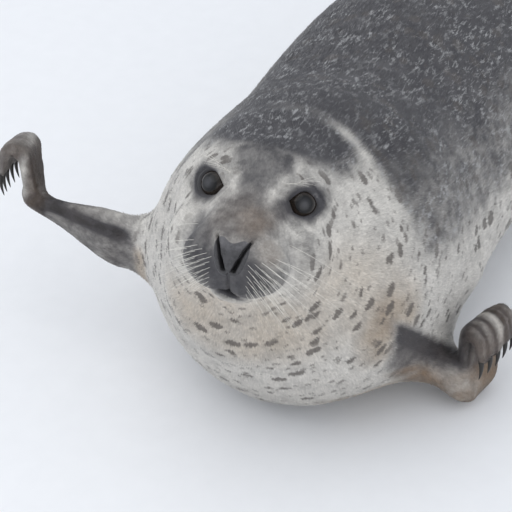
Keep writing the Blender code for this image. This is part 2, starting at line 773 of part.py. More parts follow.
def separate_shells(item):
    """Splits a mesh into its separate closed shells, each as a bmesh."""
    whole = bmesh.new()
    whole.from_mesh(item.data)
    left, shells = set(whole.verts), []
    while left:
        shell, edge = set(), [left.pop()]
        while edge:
            vertex = edge.pop()
            shell.add(vertex)
            for link in vertex.link_edges:
                other = link.other_vert(vertex)
                if other in left:
                    left.discard(other)
                    edge.append(other)
        part = bmesh.new()
        copies = {vertex: part.verts.new(vertex.co) for vertex in shell}
        for face in {face for vertex in shell for face in vertex.link_faces}:
            part.faces.new([copies[vertex] for vertex in face.verts])
        shells.append(part)
    whole.free()
    return shells


def middle_of(shape):
    return sum((vertex.co for vertex in shape.verts), Vector()) / len(shape.verts)


def name_shells(item, places, collection, finishes):
    """Makes an object of each shell of an object, named after the nearest place in the table."""
    smallest = 1e-6  # cubic metres: anything smaller is a sliver left by a cut
    for part in separate_shells(item):
        bmesh.ops.recalc_face_normals(part, faces=part.faces)
        if part.calc_volume() < smallest:
            part.free()
            continue
        middle = middle_of(part)
        name = min(places, key=lambda key: (Vector(places[key]) - middle).length)
        bmesh.ops.remove_doubles(part, verts=part.verts, dist=0.05 * MM)
        bmesh.ops.dissolve_degenerate(part, edges=part.edges, dist=0.02 * MM)
        bmesh.ops.triangulate(part, faces=part.faces)
        new_object(name, part, collection, finishes[name])
    bpy.data.objects.remove(item)


# ---------------------------------------------------------------- the seal
# Where the middle of each piece of flesh lies, and its colour.
FLESH_PIECES = {
    "head": ((0.040, -0.140, 0.300), (0.300, 0.295, 0.290)),
    "neck": ((0.030, 0.000, 0.180), (0.480, 0.460, 0.420)),
    "trunk_front": ((0.035, 0.290, 0.160), (0.240, 0.238, 0.235)),
    "trunk_rear": ((0.045, 0.620, 0.120), (0.150, 0.150, 0.155)),
    "hips": ((0.090, 0.920, 0.080), (0.160, 0.158, 0.160)),
    "tail": ((0.087, 1.085, 0.050), (0.170, 0.165, 0.160)),
    "foreflipper_right": ((-0.270, 0.020, 0.150), (0.160, 0.140, 0.125)),
    "foreflipper_left": ((0.220, 0.060, 0.060), (0.160, 0.140, 0.125)),
    "hindflipper_right": ((-0.010, 1.180, 0.030), (0.150, 0.135, 0.125)),
    "hindflipper_left": ((0.210, 1.180, 0.030), (0.150, 0.135, 0.125)),
    "nose_pad": (in_head(*NOSE_PAD[0]), (0.045, 0.043, 0.043)),
    "lower_jaw": (in_head(*LOWER_JAW[0]), (0.500, 0.480, 0.440)),
}
FUR_ROUGHNESS, NOSE_ROUGHNESS, EYE_ROUGHNESS, CLAW_ROUGHNESS = 0.85, 0.35, 0.08, 0.40


def make_flesh(seal, guides):
    """The flesh, shaped whole and then parted into its named pieces."""
    flesh = whole_flesh(guides)
    melt(flesh)
    shape_face(flesh.data)
    crease_neck(flesh.data)
    thin_out(flesh)
    for cutter in (*eye_sockets(guides), nostrils(guides), claw_sockets(guides), ground(guides)):
        combine(flesh, cutter, "DIFFERENCE")
    nose = take_out(flesh, "nose_pad", NOSE_PAD, guides)
    jaw = take_out(flesh, "lower_jaw", LOWER_JAW, guides)
    combine(flesh, parting_slabs(guides), "DIFFERENCE")
    places = {name: place for name, (place, _) in FLESH_PIECES.items()}
    finishes = {
        name: finish(name + "_finish", colour, NOSE_ROUGHNESS if name == "nose_pad" else FUR_ROUGHNESS)
        for name, (_, colour) in FLESH_PIECES.items()
    }
    for taken, name in ((nose, "nose_pad"), (jaw, "lower_jaw")):
        name_shells(taken, {name: places.pop(name)}, seal, finishes)
    name_shells(flesh, places, seal, finishes)


def make_eyes(seal):
    eye_finish = finish("eye_finish", (0.010, 0.009, 0.008), EYE_ROUGHNESS)
    for side, name in ((1, "eye_left"), (-1, "eye_right")):
        shape = bmesh.new()
        add_eyeball(shape, side, EYE_RADIUS)
        new_object(name, shape, seal, eye_finish)


def make_claws(seal):
    horn = finish("claw_horn", (0.020, 0.018, 0.016), CLAW_ROUGHNESS)
    for name, frame, size in all_claws():
        shape = bmesh.new()
        add_claw(shape, frame, size)
        new_object(name, shape, seal, horn)


def rest_on_origin(seal, guides):
    """Moves everything so that the origin is under the middle of the bounding box."""
    points = [vertex.co for item in seal.objects for vertex in item.data.vertices]
    low, high = (
        [limit(point[axis] for point in points) for axis in range(3)] for limit in (min, max)
    )
    shift = Vector((-(low[0] + high[0]) / 2, -(low[1] + high[1]) / 2, -low[2]))
    for item in (*seal.objects, *guides.objects):
        item.data.transform(Matrix.Translation(shift))


def main():
    clear_scene()
    seal = new_collection("spotted_seal")
    guides = new_collection("guides")
    make_flesh(seal, guides)
    make_eyes(seal)
    make_claws(seal)
    rest_on_origin(seal, guides)


main()
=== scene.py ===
"""The looks of the spotted seal: skin, coat, face, eyes, nose, whiskers, claws, floor and light.

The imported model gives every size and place. One skin is melted from its pieces of flesh, the face is
modelled into it, and short flat tufts of fur are laid over it. Metres, +Z up; the seal lies along Y
with its nose towards -Y and its own left side on +X.
"""

import functools
import math

import bpy
import numpy as np
from mathutils import Matrix, Vector
from mathutils.bvhtree import BVHTree


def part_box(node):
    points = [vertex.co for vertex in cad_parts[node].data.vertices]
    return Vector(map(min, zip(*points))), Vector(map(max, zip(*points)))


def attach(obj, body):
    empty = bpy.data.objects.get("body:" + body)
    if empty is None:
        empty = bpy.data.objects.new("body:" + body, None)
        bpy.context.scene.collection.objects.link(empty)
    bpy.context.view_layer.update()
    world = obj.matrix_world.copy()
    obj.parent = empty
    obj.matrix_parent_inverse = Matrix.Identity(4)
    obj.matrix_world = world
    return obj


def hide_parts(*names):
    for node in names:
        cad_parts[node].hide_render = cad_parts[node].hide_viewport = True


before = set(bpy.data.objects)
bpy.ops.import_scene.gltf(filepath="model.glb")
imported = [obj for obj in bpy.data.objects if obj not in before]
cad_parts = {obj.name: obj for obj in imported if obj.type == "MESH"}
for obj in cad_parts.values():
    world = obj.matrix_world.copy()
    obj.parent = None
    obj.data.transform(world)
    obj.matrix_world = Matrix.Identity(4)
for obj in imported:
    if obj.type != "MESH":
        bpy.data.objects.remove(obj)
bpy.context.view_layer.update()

# ---- sizes
MM = 0.001
FLESH = (
    "head", "lower_jaw", "nose_pad", "neck", "trunk_front", "trunk_rear", "hips", "tail",
    "foreflipper_left", "foreflipper_right", "hindflipper_left", "hindflipper_right",
)
SIDES = {"left": 1, "right": -1}

HEAD_YAW, HEAD_PITCH = math.radians(11), math.radians(14)
EYE_BEHIND = Vector((0.0, -15.6, -6.6))  # the eyeballs from the point between the eyes, in head mm
EYE_GAZE = Vector((0.38, 0.80, 0.34))  # sideways, forward and up
EYE_RADIUS = 18.2  # mm
EYE_OPENING = (16.2, 13.4)  # mm, half width and half height between the lids
EYE_NEAR = 40.0  # mm, within which skin belongs to an eye
CORNER_DROP, CORNER_REACH = 2.6, 2.5  # mm, the inner corner down and towards the nose
LID_THICK, LID_ROLL, LID_CREASE = 1.5, 1.1, 0.9  # mm, over the eyeball, at its edge, outside it
ROLL_LEVEL, CREASE_LEVEL = (1.13, 0.10), (1.42, 0.13)  # where these lie, and their half width
OUTSIDE = 9.0  # a level that is far outside an eye's opening or the nose

# The trunk's middle line, which swings round to the left towards the hips.
NECK_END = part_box("neck")[1].y
SPINE_X = 0.066
BEND_START, BEND_REACH, BEND = NECK_END + 0.225, 0.65, 0.055

# Where the flippers leave the body: each pair is a start and an end, in metres.
ARMS_END = (-0.42, -0.40)  # along Y, behind both arms
RIGHT_SHOULDER, LEFT_SHOULDER = (0.115, 0.165), (0.222, 0.248)  # out from the middle
ARM_TOP = (0.13, 0.15)  # height
HIND_ROOT = (0.46, 0.56)  # along Y

MERGE_GAP = 0.01 * MM
SKIN_VOXEL = 2.6 * MM
SKIN_TRIANGLES = 51000  # before the face is divided
FACE_REACH, FACE_BACK = 118.0, -40.0  # mm, how far out and back the face is divided
WEIGHT_STEPS = 20  # to which the weights of a vertex group are rounded
COAT_DEPTH = 2.4 * MM  # how far the skin lies inside the solids on the trunk and neck

rng = np.random.default_rng(7)


# ---- frames of the head and eyes
def box_centre(node):
    low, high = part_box(node)
    return (low + high) / 2


EYEBALL = {side: box_centre("eye_" + side) for side in SIDES}
FORWARD = Vector((
    math.sin(HEAD_YAW) * math.cos(HEAD_PITCH),
    -math.cos(HEAD_YAW) * math.cos(HEAD_PITCH),
    math.sin(HEAD_PITCH),
))
LEFT = (EYEBALL["left"] - EYEBALL["right"]).normalized()
UP = FORWARD.cross(LEFT)
HEAD_AXES = Matrix((LEFT, FORWARD, UP)).transposed()
HEAD_AT = (EYEBALL["left"] + EYEBALL["right"]) / 2 - HEAD_AXES @ EYE_BEHIND * MM


def in_head(sideways, forward, up):
    """The place of a point of the head, given in millimetres from the point between the eyes."""
    return HEAD_AT + HEAD_AXES @ Vector((sideways, forward, up)) * MM


def to_head(points):
    """Rows of places as rows of millimetres of the head: sideways (left), forward and up."""
    return (points - np.array(HEAD_AT)) @ np.array(HEAD_AXES) / MM


def from_head(rows):
    return rows @ np.array(HEAD_AXES).T * MM + np.array(HEAD_AT)


def eye_axes(side):
    """Outwards, up and along the gaze of an eye, in the head's own directions."""
    gaze = Vector((SIDES[side] * EYE_GAZE.x, EYE_GAZE.y, EYE_GAZE.z)).normalized()
    outwards = gaze.cross(Vector((0, 0, 1))).normalized() * SIDES[side]
    rise = (Vector((0, 0, 1)) - gaze * gaze.z).normalized()
    return outwards, rise, gaze


def eye_middle(side):
    return to_head(np.array([EYEBALL[side]]))[0]


def spine_x(y):
    return SPINE_X + BEND * np.maximum(0.0, (y - BEND_START) / BEND_REACH) ** 2


# ---- working on meshes
def fade(value, low, high):
    """0 at low, 1 at high, smooth between."""
    share = np.clip((value - low) / (high - low), 0.0, 1.0)
    return share * share * (3.0 - 2.0 * share)


def fall(value, low, high):
    """1 at low, 0 at high, smooth between."""
    return 1.0 - fade(value, low, high)


def band(value, middle, half):
    """1 at the middle of a band, falling off softly on both sides."""
    return np.exp(-(((value - middle) / half) ** 2))


def most(*values):
    """The greatest of several values at each place."""
    return functools.reduce(np.maximum, values)


def rows_of(items, key, width=3):
    """One property of every item of a mesh, a row for each."""
    rows = np.empty(len(items) * width)
    items.foreach_get(key, rows)
    return rows.reshape(-1, width)


def unit(rows):
    """Each row, or the last axis of an array, at a length of 1."""
    return rows / np.maximum(np.linalg.norm(rows, axis=-1, keepdims=True), 1e-6)


def points_of(piece):
    return rows_of(piece.data.vertices, "co")


def normals_of(piece):
    return rows_of(piece.data.vertex_normals, "vector")


def face_centres(piece):
    return rows_of(piece.data.polygons, "center")


def set_points(piece, rows):
    piece.data.vertices.foreach_set("co", np.ascontiguousarray(rows, dtype=np.float32).ravel())
    piece.data.update()


def only(piece):
    """Selects one piece and nothing else."""
    bpy.ops.object.select_all(action="DESELECT")
    piece.select_set(True)
    bpy.context.view_layer.objects.active = piece


def finish_with(piece, kind, **settings):
    """Adds a modifier to a piece, sets it and applies it."""
    modifier = piece.modifiers.new(kind.lower(), kind)
    for name, value in settings.items():
        setattr(modifier, name, value)
    only(piece)
    bpy.ops.object.modifier_apply(modifier=modifier.name)


def weigh(piece, name, weights):
    """A vertex group whose weights are rounded to a number of steps."""
    group = piece.vertex_groups.new(name=name)
    steps = np.rint(np.clip(weights, 0.0, 1.0) * WEIGHT_STEPS).astype(int)
    for step in range(1, WEIGHT_STEPS + 1):
        group.add(np.flatnonzero(steps == step).tolist(), step / WEIGHT_STEPS, "REPLACE")
    return name


def smooth(piece, weights, passes):
    name = weigh(piece, "smooth", weights)
    finish_with(piece, "SMOOTH", factor=0.5, iterations=passes, vertex_group=name)
    piece.vertex_groups.clear()


def edit_faces(piece, chosen):
    """Opens a piece in edit mode with the chosen faces selected."""
    only(piece)
    mesh = piece.data
    mesh.vertices.foreach_set("select", np.zeros(len(mesh.vertices), bool))
    mesh.edges.foreach_set("select", np.zeros(len(mesh.edges), bool))
    mesh.polygons.foreach_set("select", chosen)
    bpy.context.tool_settings.mesh_select_mode = (False, False, True)
    bpy.ops.object.mode_set(mode="EDIT")


def refine(piece, chosen):
    """Divides the chosen faces once each way."""
    edit_faces(piece, chosen)
    bpy.ops.mesh.subdivide(number_cuts=1)
    bpy.ops.object.mode_set(mode="OBJECT")


def triangles_of(piece):
    return sum(len(face.vertices) - 2 for face in piece.data.polygons)


def add_object(name, data):
    piece = bpy.data.objects.new(name, data)
    bpy.context.scene.collection.objects.link(piece)
    return piece


def cover(piece, material):
    """Smooths a piece's shading and gives it one material all over."""
    piece.data.shade_smooth()
    piece.data.materials.clear()
    piece.data.materials.append(material)


def new_piece(name, points, faces, material):
    mesh = bpy.data.meshes.new(name)
    mesh.from_pydata(points, [], faces)
    piece = add_object(name, mesh)
    cover(piece, material)
    return piece


def joined_copy(name, nodes):
    """Copies of CAD nodes as one mesh, with the points that meet merged."""
    pieces = [add_object(node + "_copy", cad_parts[node].data.copy()) for node in nodes]
    only(pieces[0])
    for piece in pieces:
        piece.select_set(True)
    bpy.ops.object.join()
    joined = bpy.context.view_layer.objects.active
    joined.name = joined.data.name = name
    bpy.ops.object.mode_set(mode="EDIT")
    bpy.ops.mesh.select_all(action="SELECT")
    bpy.ops.mesh.remove_doubles(threshold=MERGE_GAP)
    bpy.ops.object.mode_set(mode="OBJECT")
    return joined


def lay_attribute(piece, name, values):
    """Stores a number or a vector at each point of a mesh."""
    values = np.asarray(values, dtype=np.float32)
    is_vector = values.ndim == 2
    attribute = piece.data.attributes.new(name, "FLOAT_VECTOR" if is_vector else "FLOAT", "POINT")
    attribute.data.foreach_set("vector" if is_vector else "value", values.ravel())


# ---- where things are on the body
def near(rows, centre, radii, edge=0.35):
    """1 inside an ellipsoid, 0 outside it, soft over an edge that is a share of its radius."""
    reach = np.linalg.norm((rows - np.array(centre)) / np.array(radii), axis=1)
    return fall(reach, 1.0 - edge, 1.0 + edge)


def both_sides(rows, centre, radii, edge=0.35):
    mirrored_rows = rows * (-1.0, 1.0, 1.0)
    return most(near(rows, centre, radii, edge), near(mirrored_rows, centre, radii, edge))


def line_distance(rows, path):
    """The distance from each row to a line through a path's points."""
    best = np.full(len(rows), 1e9)
    for start, end in zip(path, path[1:]):
        start, step = np.array(start, float), np.array(end, float) - np.array(start, float)
        share = np.clip((rows - start) @ step / (step @ step), 0.0, 1.0)
        gap = np.linalg.norm(rows - start - share[:, None] * step, axis=1)
        best = np.minimum(best, gap)
    return best


def on_fore_flipper(points):
    """1 on the arms and hands of the fore flippers, 0 elsewhere."""
    x, y, z = points.T
    right = fade(-x, *RIGHT_SHOULDER)
    left = fade(x, *LEFT_SHOULDER) * fall(z, *ARM_TOP)
    return fall(y, *ARMS_END) * most(right, left)


def on_hind_flipper(points):
    return fade(points[:, 1], *HIND_ROOT)


def on_face(head_rows):
    """1 on the front of the head, 0 behind it."""
    reach = np.linalg.norm(head_rows, axis=1)
    return fall(reach, 100.0, 135.0) * fade(head_rows[:, 1], -50.0, -20.0)


# ---- the skin
def fineness(points):
    """How fine the skin is kept at each point, from 0 to 1."""
    neck = fall(points[:, 1], -0.50, -0.40)
    hands, feet = on_fore_flipper(points), on_hind_flipper(points)
    return most(0.10, 0.35 * neck, 0.85 * hands, 0.75 * feet, on_face(to_head(points)))


def make_skin():
    """Melts the flesh and the eyeballs into one mesh, so that the thin cuts between them close."""
    skin = joined_copy("skin", (*FLESH, "eye_left", "eye_right"))
    finish_with(skin, "REMESH", mode="VOXEL", voxel_size=SKIN_VOXEL)
    ratio = SKIN_TRIANGLES / triangles_of(skin)
    coarse = weigh(skin, "coarse", 1.0 - fineness(points_of(skin)))
    finish_with(
        skin, "DECIMATE", ratio=ratio, vertex_group=coarse, vertex_group_factor=0.8,
        use_collapse_triangulate=True,
    )
    skin.vertex_groups.clear()
    points = points_of(skin)
    delicate = most(on_fore_flipper(points), on_hind_flipper(points), on_face(to_head(points)))
    smooth(skin, 1.0 - delicate, 60)
    smooth(skin, np.ones(len(points)), 4)
    return skin


# ---- modelling the face into the skin
# Lines on the front of the face, sideways and up.
NOSTRIL_PATH = ((16.5, -18.5), (12.8, -24.0), (8.6, -36.0), (5.0, -47.0))
MOUTH_PATH = ((-41, -100), (-31, -92), (-20, -83), (-9, -78), (0, -79), (9, -82), (20, -87), (31, -93),
              (41, -99))
LIP_GROOVE = ((0, -52), (0, -62), (0, -79))
NOSE_MIDDLE, NOSE_REACH = -34.5, (15.5, 19.5)  # up; sideways and up
NOSE_FLARE, NOSE_DIP = 0.014, 4.5  # wider upwards, for each mm; the upper edge's dip, in mm
NOSE_FRONT = 60.0  # forward of this, the leather can lie
NOSE_TUCK = 1.12  # the level at which it ends, under the fur
BROW_FOLDS = (
    ((-66, -14, 14), (-50, 0, 25), (-34, 8, 24), (-24, 14, 14)),
    ((24, 14, 16), (34, 8, 27), (50, 0, 28), (66, -14, 18)),
)
CHEEK_FOLD = ((26, 30, -14), (36, 14, -26), (52, 2, -28))
EAR_HOLES = ((-76, -42, 7), (76, -42, 9))
FRONT_OF_FACE = 30.0  # forward of this, lines lie on the front of the face
NO_LINE = 99.0  # mm, how far points behind it count as being from a line


def mirrored(path):
    """The same path on the head's other side."""
    return tuple((-sideways, *rest) for sideways, *rest in path)


def front_distance(head_rows, path):
    """The distance to a line laid on the front of the face, and far off for points behind it."""
    flat = np.column_stack((head_rows[:, 0], head_rows[:, 2]))
    return np.where(head_rows[:, 1] > FRONT_OF_FACE, line_distance(flat, path), NO_LINE)


def press(rows, normals, path, depth, width, power=2.0):
    """Presses a groove of a depth and a half width, in mm, along a path."""
    gap = front_distance(rows, path) if len(path[0]) == 2 else line_distance(rows, path)
    strength = np.exp(-((gap / width) ** power))
    return rows - normals * (depth * strength)[:, None]


def face_lines():
    """The lines pressed into the face: path, depth and half width in mm, and some's steepness."""
    yield MOUTH_PATH, 2.0, 1.3
    yield MOUTH_PATH[3:6], 4.0, 1.6
    yield MOUTH_PATH, 1.6, 6.0
    yield LIP_GROOVE, 2.4, 1.6
    yield LIP_GROOVE, 1.5, 6.0
    for path in (NOSTRIL_PATH, mirrored(NOSTRIL_PATH)):
        yield path, 5.5, 1.9, 4.0
        yield path[2:], 3.5, 2.7, 4.0
        yield path, -1.0, 4.5
    for path in BROW_FOLDS:
        yield path, 1.4, 3.0
    for path in (mirrored(CHEEK_FOLD), CHEEK_FOLD):
        yield path, 1.6, 5.0
    for sideways, forward, up in EAR_HOLES:
        yield ((sideways, forward, up), (sideways * 1.02, forward - 2.0, up)), 3.5, 2.6


def opening_level(side, rows):
    """Where points lie round an eye: 0 on its gaze, 1 on the edges of the lids, more outside.

    Also returns the distance from the middle of the eyeball and the height over the gaze, in mm.
    """
    outwards, rise, gaze = (np.array(axis) for axis in eye_axes(side))
    apart = rows - eye_middle(side)
    reach = np.linalg.norm(apart, axis=1)
    ahead = apart @ gaze
    across = EYE_RADIUS * np.arctan2(apart @ outwards, np.maximum(ahead, 0.1))
    height = EYE_RADIUS * np.arctan2(apart @ rise, np.maximum(ahead, 0.1))
    # The inner corner is drawn out towards the nose and down, and the lower lid is flatter.
    wide, high = EYE_OPENING
    inner = np.clip(-across / wide, 0.0, 1.6)
    height = height + CORNER_DROP * inner**2
    half_width = np.where(across < 0, wide + CORNER_REACH, wide)
    half_height = np.where(height > 0, high, high - 0.8) * (1.0 - 0.18 * inner)
    level = np.sqrt((across / half_width) ** 2 + (height / half_height) ** 2)
    return np.where(ahead > 0, level, OUTSIDE), reach, height


def open_the_eyes(rows):
    """Sinks the skin behind each eyeball and leaves rounded lids standing over it."""
    for side in SIDES:
        level, reach, height = opening_level(side, rows)
        middle = eye_middle(side)
        close = (reach < EYE_NEAR) & (level < 3.5)
        lid = EYE_RADIUS + LID_THICK + LID_ROLL * band(level, *ROLL_LEVEL)
        lid = lid - LID_CREASE * band(level, *CREASE_LEVEL) * fade(height, -6.0, 4.0)
        outer = np.maximum(reach, lid)
        outer = np.where(level < 1.35, lid + (outer - lid) * fade(level, 1.05, 1.35), outer)
        outer = outer - 0.8 * band(level, 1.46, 0.12)
        shape = (EYE_RADIUS - 3.5) + (outer - EYE_RADIUS + 3.5) * fade(level, 0.90, 1.04)
        share = np.where(close, shape / np.maximum(reach, 1e-6), 1.0)
        rows = middle + (rows - middle) * share[:, None]
    return rows


def model_face(skin):
    """Divides the face finely and presses its features into it."""
    centres = to_head(face_centres(skin))
    refine(skin, (np.linalg.norm(centres, axis=1) < FACE_REACH) & (centres[:, 1] > FACE_BACK))
    smooth(skin, on_face(to_head(points_of(skin))), 14)

    def is_delicate(rows):
        muzzle = near(rows, (0, 62, -52), (54, 34, 46), 0.1)
        eyes = both_sides(rows, (47, -4, 0), (27, 26, 25), 0.1)
        return most(muzzle, eyes) > 0.5

    refine(skin, is_delicate(to_head(face_centres(skin))))
    smooth(skin, np.where(is_delicate(to_head(points_of(skin))), 1.0, 0.0), 5)

    rows = open_the_eyes(to_head(points_of(skin)))
    set_points(skin, from_head(rows))

    normals = normals_of(skin) @ np.array(HEAD_AXES)
    face = on_face(rows)[:, None]
    shaped = rows
    for line in face_lines():
        shaped = press(shaped, normals, *line)
    rows = rows * (1.0 - face) + shaped * face
    set_points(skin, from_head(rows))


def fur_thickness(points):
    """How thick the coat is at each place, from 0 to 1."""
    head_rows = to_head(points)
    muzzle = near(head_rows, (0, 60, -50), (52, 40, 46), 0.3)
    hands, feet = on_fore_flipper(points), on_hind_flipper(points)
    thin = most(hands, feet, 0.6 * on_face(head_rows), muzzle)
    return np.clip(1.0 - 0.75 * thin, 0.0, 1.0)


def thin_the_skin(skin):
    """Draws the skin inside the solids by the depth of the coat."""
    points, normals = points_of(skin), normals_of(skin)
    depth = COAT_DEPTH * fur_thickness(points)
    moved = points - normals * depth[:, None]
    moved[:, 2] = np.maximum(moved[:, 2], 0.4 * MM)
    set_points(skin, moved)


# ---- markings
# fade and fall name the two places between which a marking comes or goes: in mm on the head, and
# elsewhere in metres or in degrees round the body.
FOLD_Y, FOLD_Z, FOLD_LEAN = NECK_END - 0.1169, 0.349, 0.28  # the fold round the neck
MANTLE_Y = (-0.56, -0.50, -0.44, -0.36, 0.00, 0.40, 0.60)  # along the body
MANTLE_LEFT = (57, 67, 69, 74, 84, 86, 90)  # how far round the dark back reaches, in degrees
MANTLE_RIGHT = (50, 58, 66, 74, 84, 86, 90)
CORE_Y, CORE_Z = (0.0, 0.30, 0.60), (0.13, 0.105, 0.045)  # the height of the body's middle
LEFT_HAND_AT, DIGIT_PITCH = (0.2557, -0.4798), 0.0145  # between the digits of the left hand
RIGHT_WRIST = (-0.2573, -0.5298, 0.140)  # the markings of the right hand are placed from it


def head_markings(head_rows):
    """How dark and how brown the head is, with painted shade in the slit of the mouth, and how free of
    spots.
    """
    sideways, forward, up = head_rows.T
    aside = np.abs(sideways)

    half_width = np.where(sideways > 0.0, 87.0, 80.0)
    from_crown = np.hypot(sideways / half_width, (forward + 92.0) / 76.0)
    crown = fall(from_crown, 0.80, 1.10) * fade(up, -12.0, 12.0)
    widening = 13.0 * fall(forward, -15.0, 15.0)
    forehead = fall(aside - widening, 8.0, 27.0) * fade(up, -16.0, 0.0)
    forehead *= fade(forward, -50.0, -30.0) * fall(forward, 40.0, 60.0)
    left_eye = near(head_rows, (49, -4, 0), (21, 30, 17), 0.52)
    right_eye = near(head_rows, (-52, -6, -2), (18, 30, 17), 0.50)
    eyes = 1.30 * most(left_eye, right_eye)
    brows = both_sides(head_rows, (44, 0, 6), (36, 44, 30), 0.45)
    corner = near(head_rows, (28, 24, -3), (15, 17, 12), 0.6)
    muzzle = near(head_rows, (2, 66, -51), (48, 62, 37), 0.40)
    right_pad = near(head_rows, (-32, 60, -38), (27, 50, 27), 0.45)
    muzzle *= 1.0 - 0.9 * fade(-up, 77.0, 89.0)
    nose = near(head_rows, (0, 82, -40), (22, 22, 26), 0.45)
    bridge = near(head_rows, (2, 50, -10), (38, 42, 24), 0.55)
    pale_pad = near(head_rows, (33, 66, -27), (15, 16, 13), 0.5)
    cheek = near(head_rows, (58, 38, -34), (20, 30, 24), 0.6)
    # Near black along the middle of the mouth line: painted shade in the slit of the mouth.
    mouth = fall(front_distance(head_rows, MOUTH_PATH[1:7]), 1.6, 4.6)
    mouth *= band(sideways, 0.0, 15.0)

    dark = most(
        0.98 * crown, 0.82 * forehead, eyes, 0.34 * brows, 0.82 * corner, 0.95 * muzzle,
        0.86 * right_pad, 0.98 * nose, 0.78 * bridge, 0.42 * cheek,
    )
    dark = most(dark * (1.0 - 0.34 * pale_pad), 1.3 * mouth)
    ridge = near(head_rows, (11, 50, -9), (18, 24, 13), 0.7)
    brown = most(0.85 * ridge, 0.25 * bridge, 0.50 * pale_pad)
    return dark, brown, most(crown, forehead, eyes, muzzle, bridge)


def right_flipper_markings(points):
    """How dark and how brown the right fore flipper is, and where it begins."""
    x, y, z = points.T
    begun = fade(-x, 0.104, 0.122) * (y > -0.60) * (y < ARMS_END[1])
    light_edge = fade(z, 0.149, 0.160) * fall(-x, 0.195, 0.228)
    stripe = band(z, 0.146 + 0.006 * fade(-x, 0.16, 0.23), 0.008)
    stripe *= fade(-x, 0.110, 0.138) * fall(-x, 0.25, 0.27)
    arm = 0.74 + 0.48 * stripe - 0.32 * light_edge
    hand = fade(-x, 0.228, 0.248)
    outwards = (points - RIGHT_WRIST) @ (-0.94, -0.342, -0.105)
    streak = band(outwards, 0.0005 + 0.20 * (0.200 - z), 0.0056) * fade(z, 0.146, 0.158)
    streak *= fall(z, 0.200, 0.212)
    inner_edge = fall(outwards, -0.0095, -0.0045)
    elbow = near(points / MM, (-237, -540, 149), (20, 32, 12), 0.5)
    palm = 0.80 + 0.42 * inner_edge + 0.50 * elbow - 0.60 * streak
    return arm + hand * (palm - arm), 0.34 * hand * (1.0 - streak) + 0.10, begun


def left_flipper_markings(points):
    """How dark and how brown the left fore flipper is, with painted shade between and under the digits
    and a painted highlight on the hand, and where it begins.
    """
    x, y, z = points.T
    ceiling = 0.155 - 0.97 * (y + 0.579)  # the arm's upper edge, lower towards the elbow
    begun = fade(x, 0.185, 0.203) * fade(y, -0.604, -0.586) * fall(y, -0.47, -0.43)
    begun *= fall(z - ceiling, -0.009, 0.007)
    begun = most(begun, fade(x, 0.238, 0.250) * (y < ARMS_END[1]))
    top = fall(ceiling - z, 0.018, 0.050)
    belly = fall(z - 1.1 * np.maximum(0.226 - x, 0.0), 0.042, 0.060)
    arm = 0.77 + 0.29 * top - 0.47 * belly
    hand = fade(x, 0.246, 0.260) * fade(z, 0.045, 0.070)
    across = (points[:, :2] - LEFT_HAND_AT) @ (0.342, 0.94)
    # Painted shade in the gaps between the digits.
    digit_shade = sum(band(across, DIGIT_PITCH * step, 0.003) for step in (-1.5, -0.5, 1.5))
    digit_shade += 1.6 * band(across, 0.0125, 0.0035)
    # A light streak up the hand: a painted highlight.
    palm = band(across, 0.0035, 0.0045) * fade(z, 0.086, 0.097) * fall(z, 0.122, 0.132)
    fingers = 0.74 + 0.34 * digit_shade + 0.30 * fall(across, -0.036, -0.026) - 0.66 * palm
    dark = arm + hand * (fingers - arm)
    # The far, low end of the hand is darkened: painted shade under the fingertips.
    dark += 0.5 * fade(x, 0.268, 0.280) * fall(z, 0.030, 0.055)
    return dark, 1.1 * belly * (1.0 - hand) + 0.30 * hand + 0.15, begun


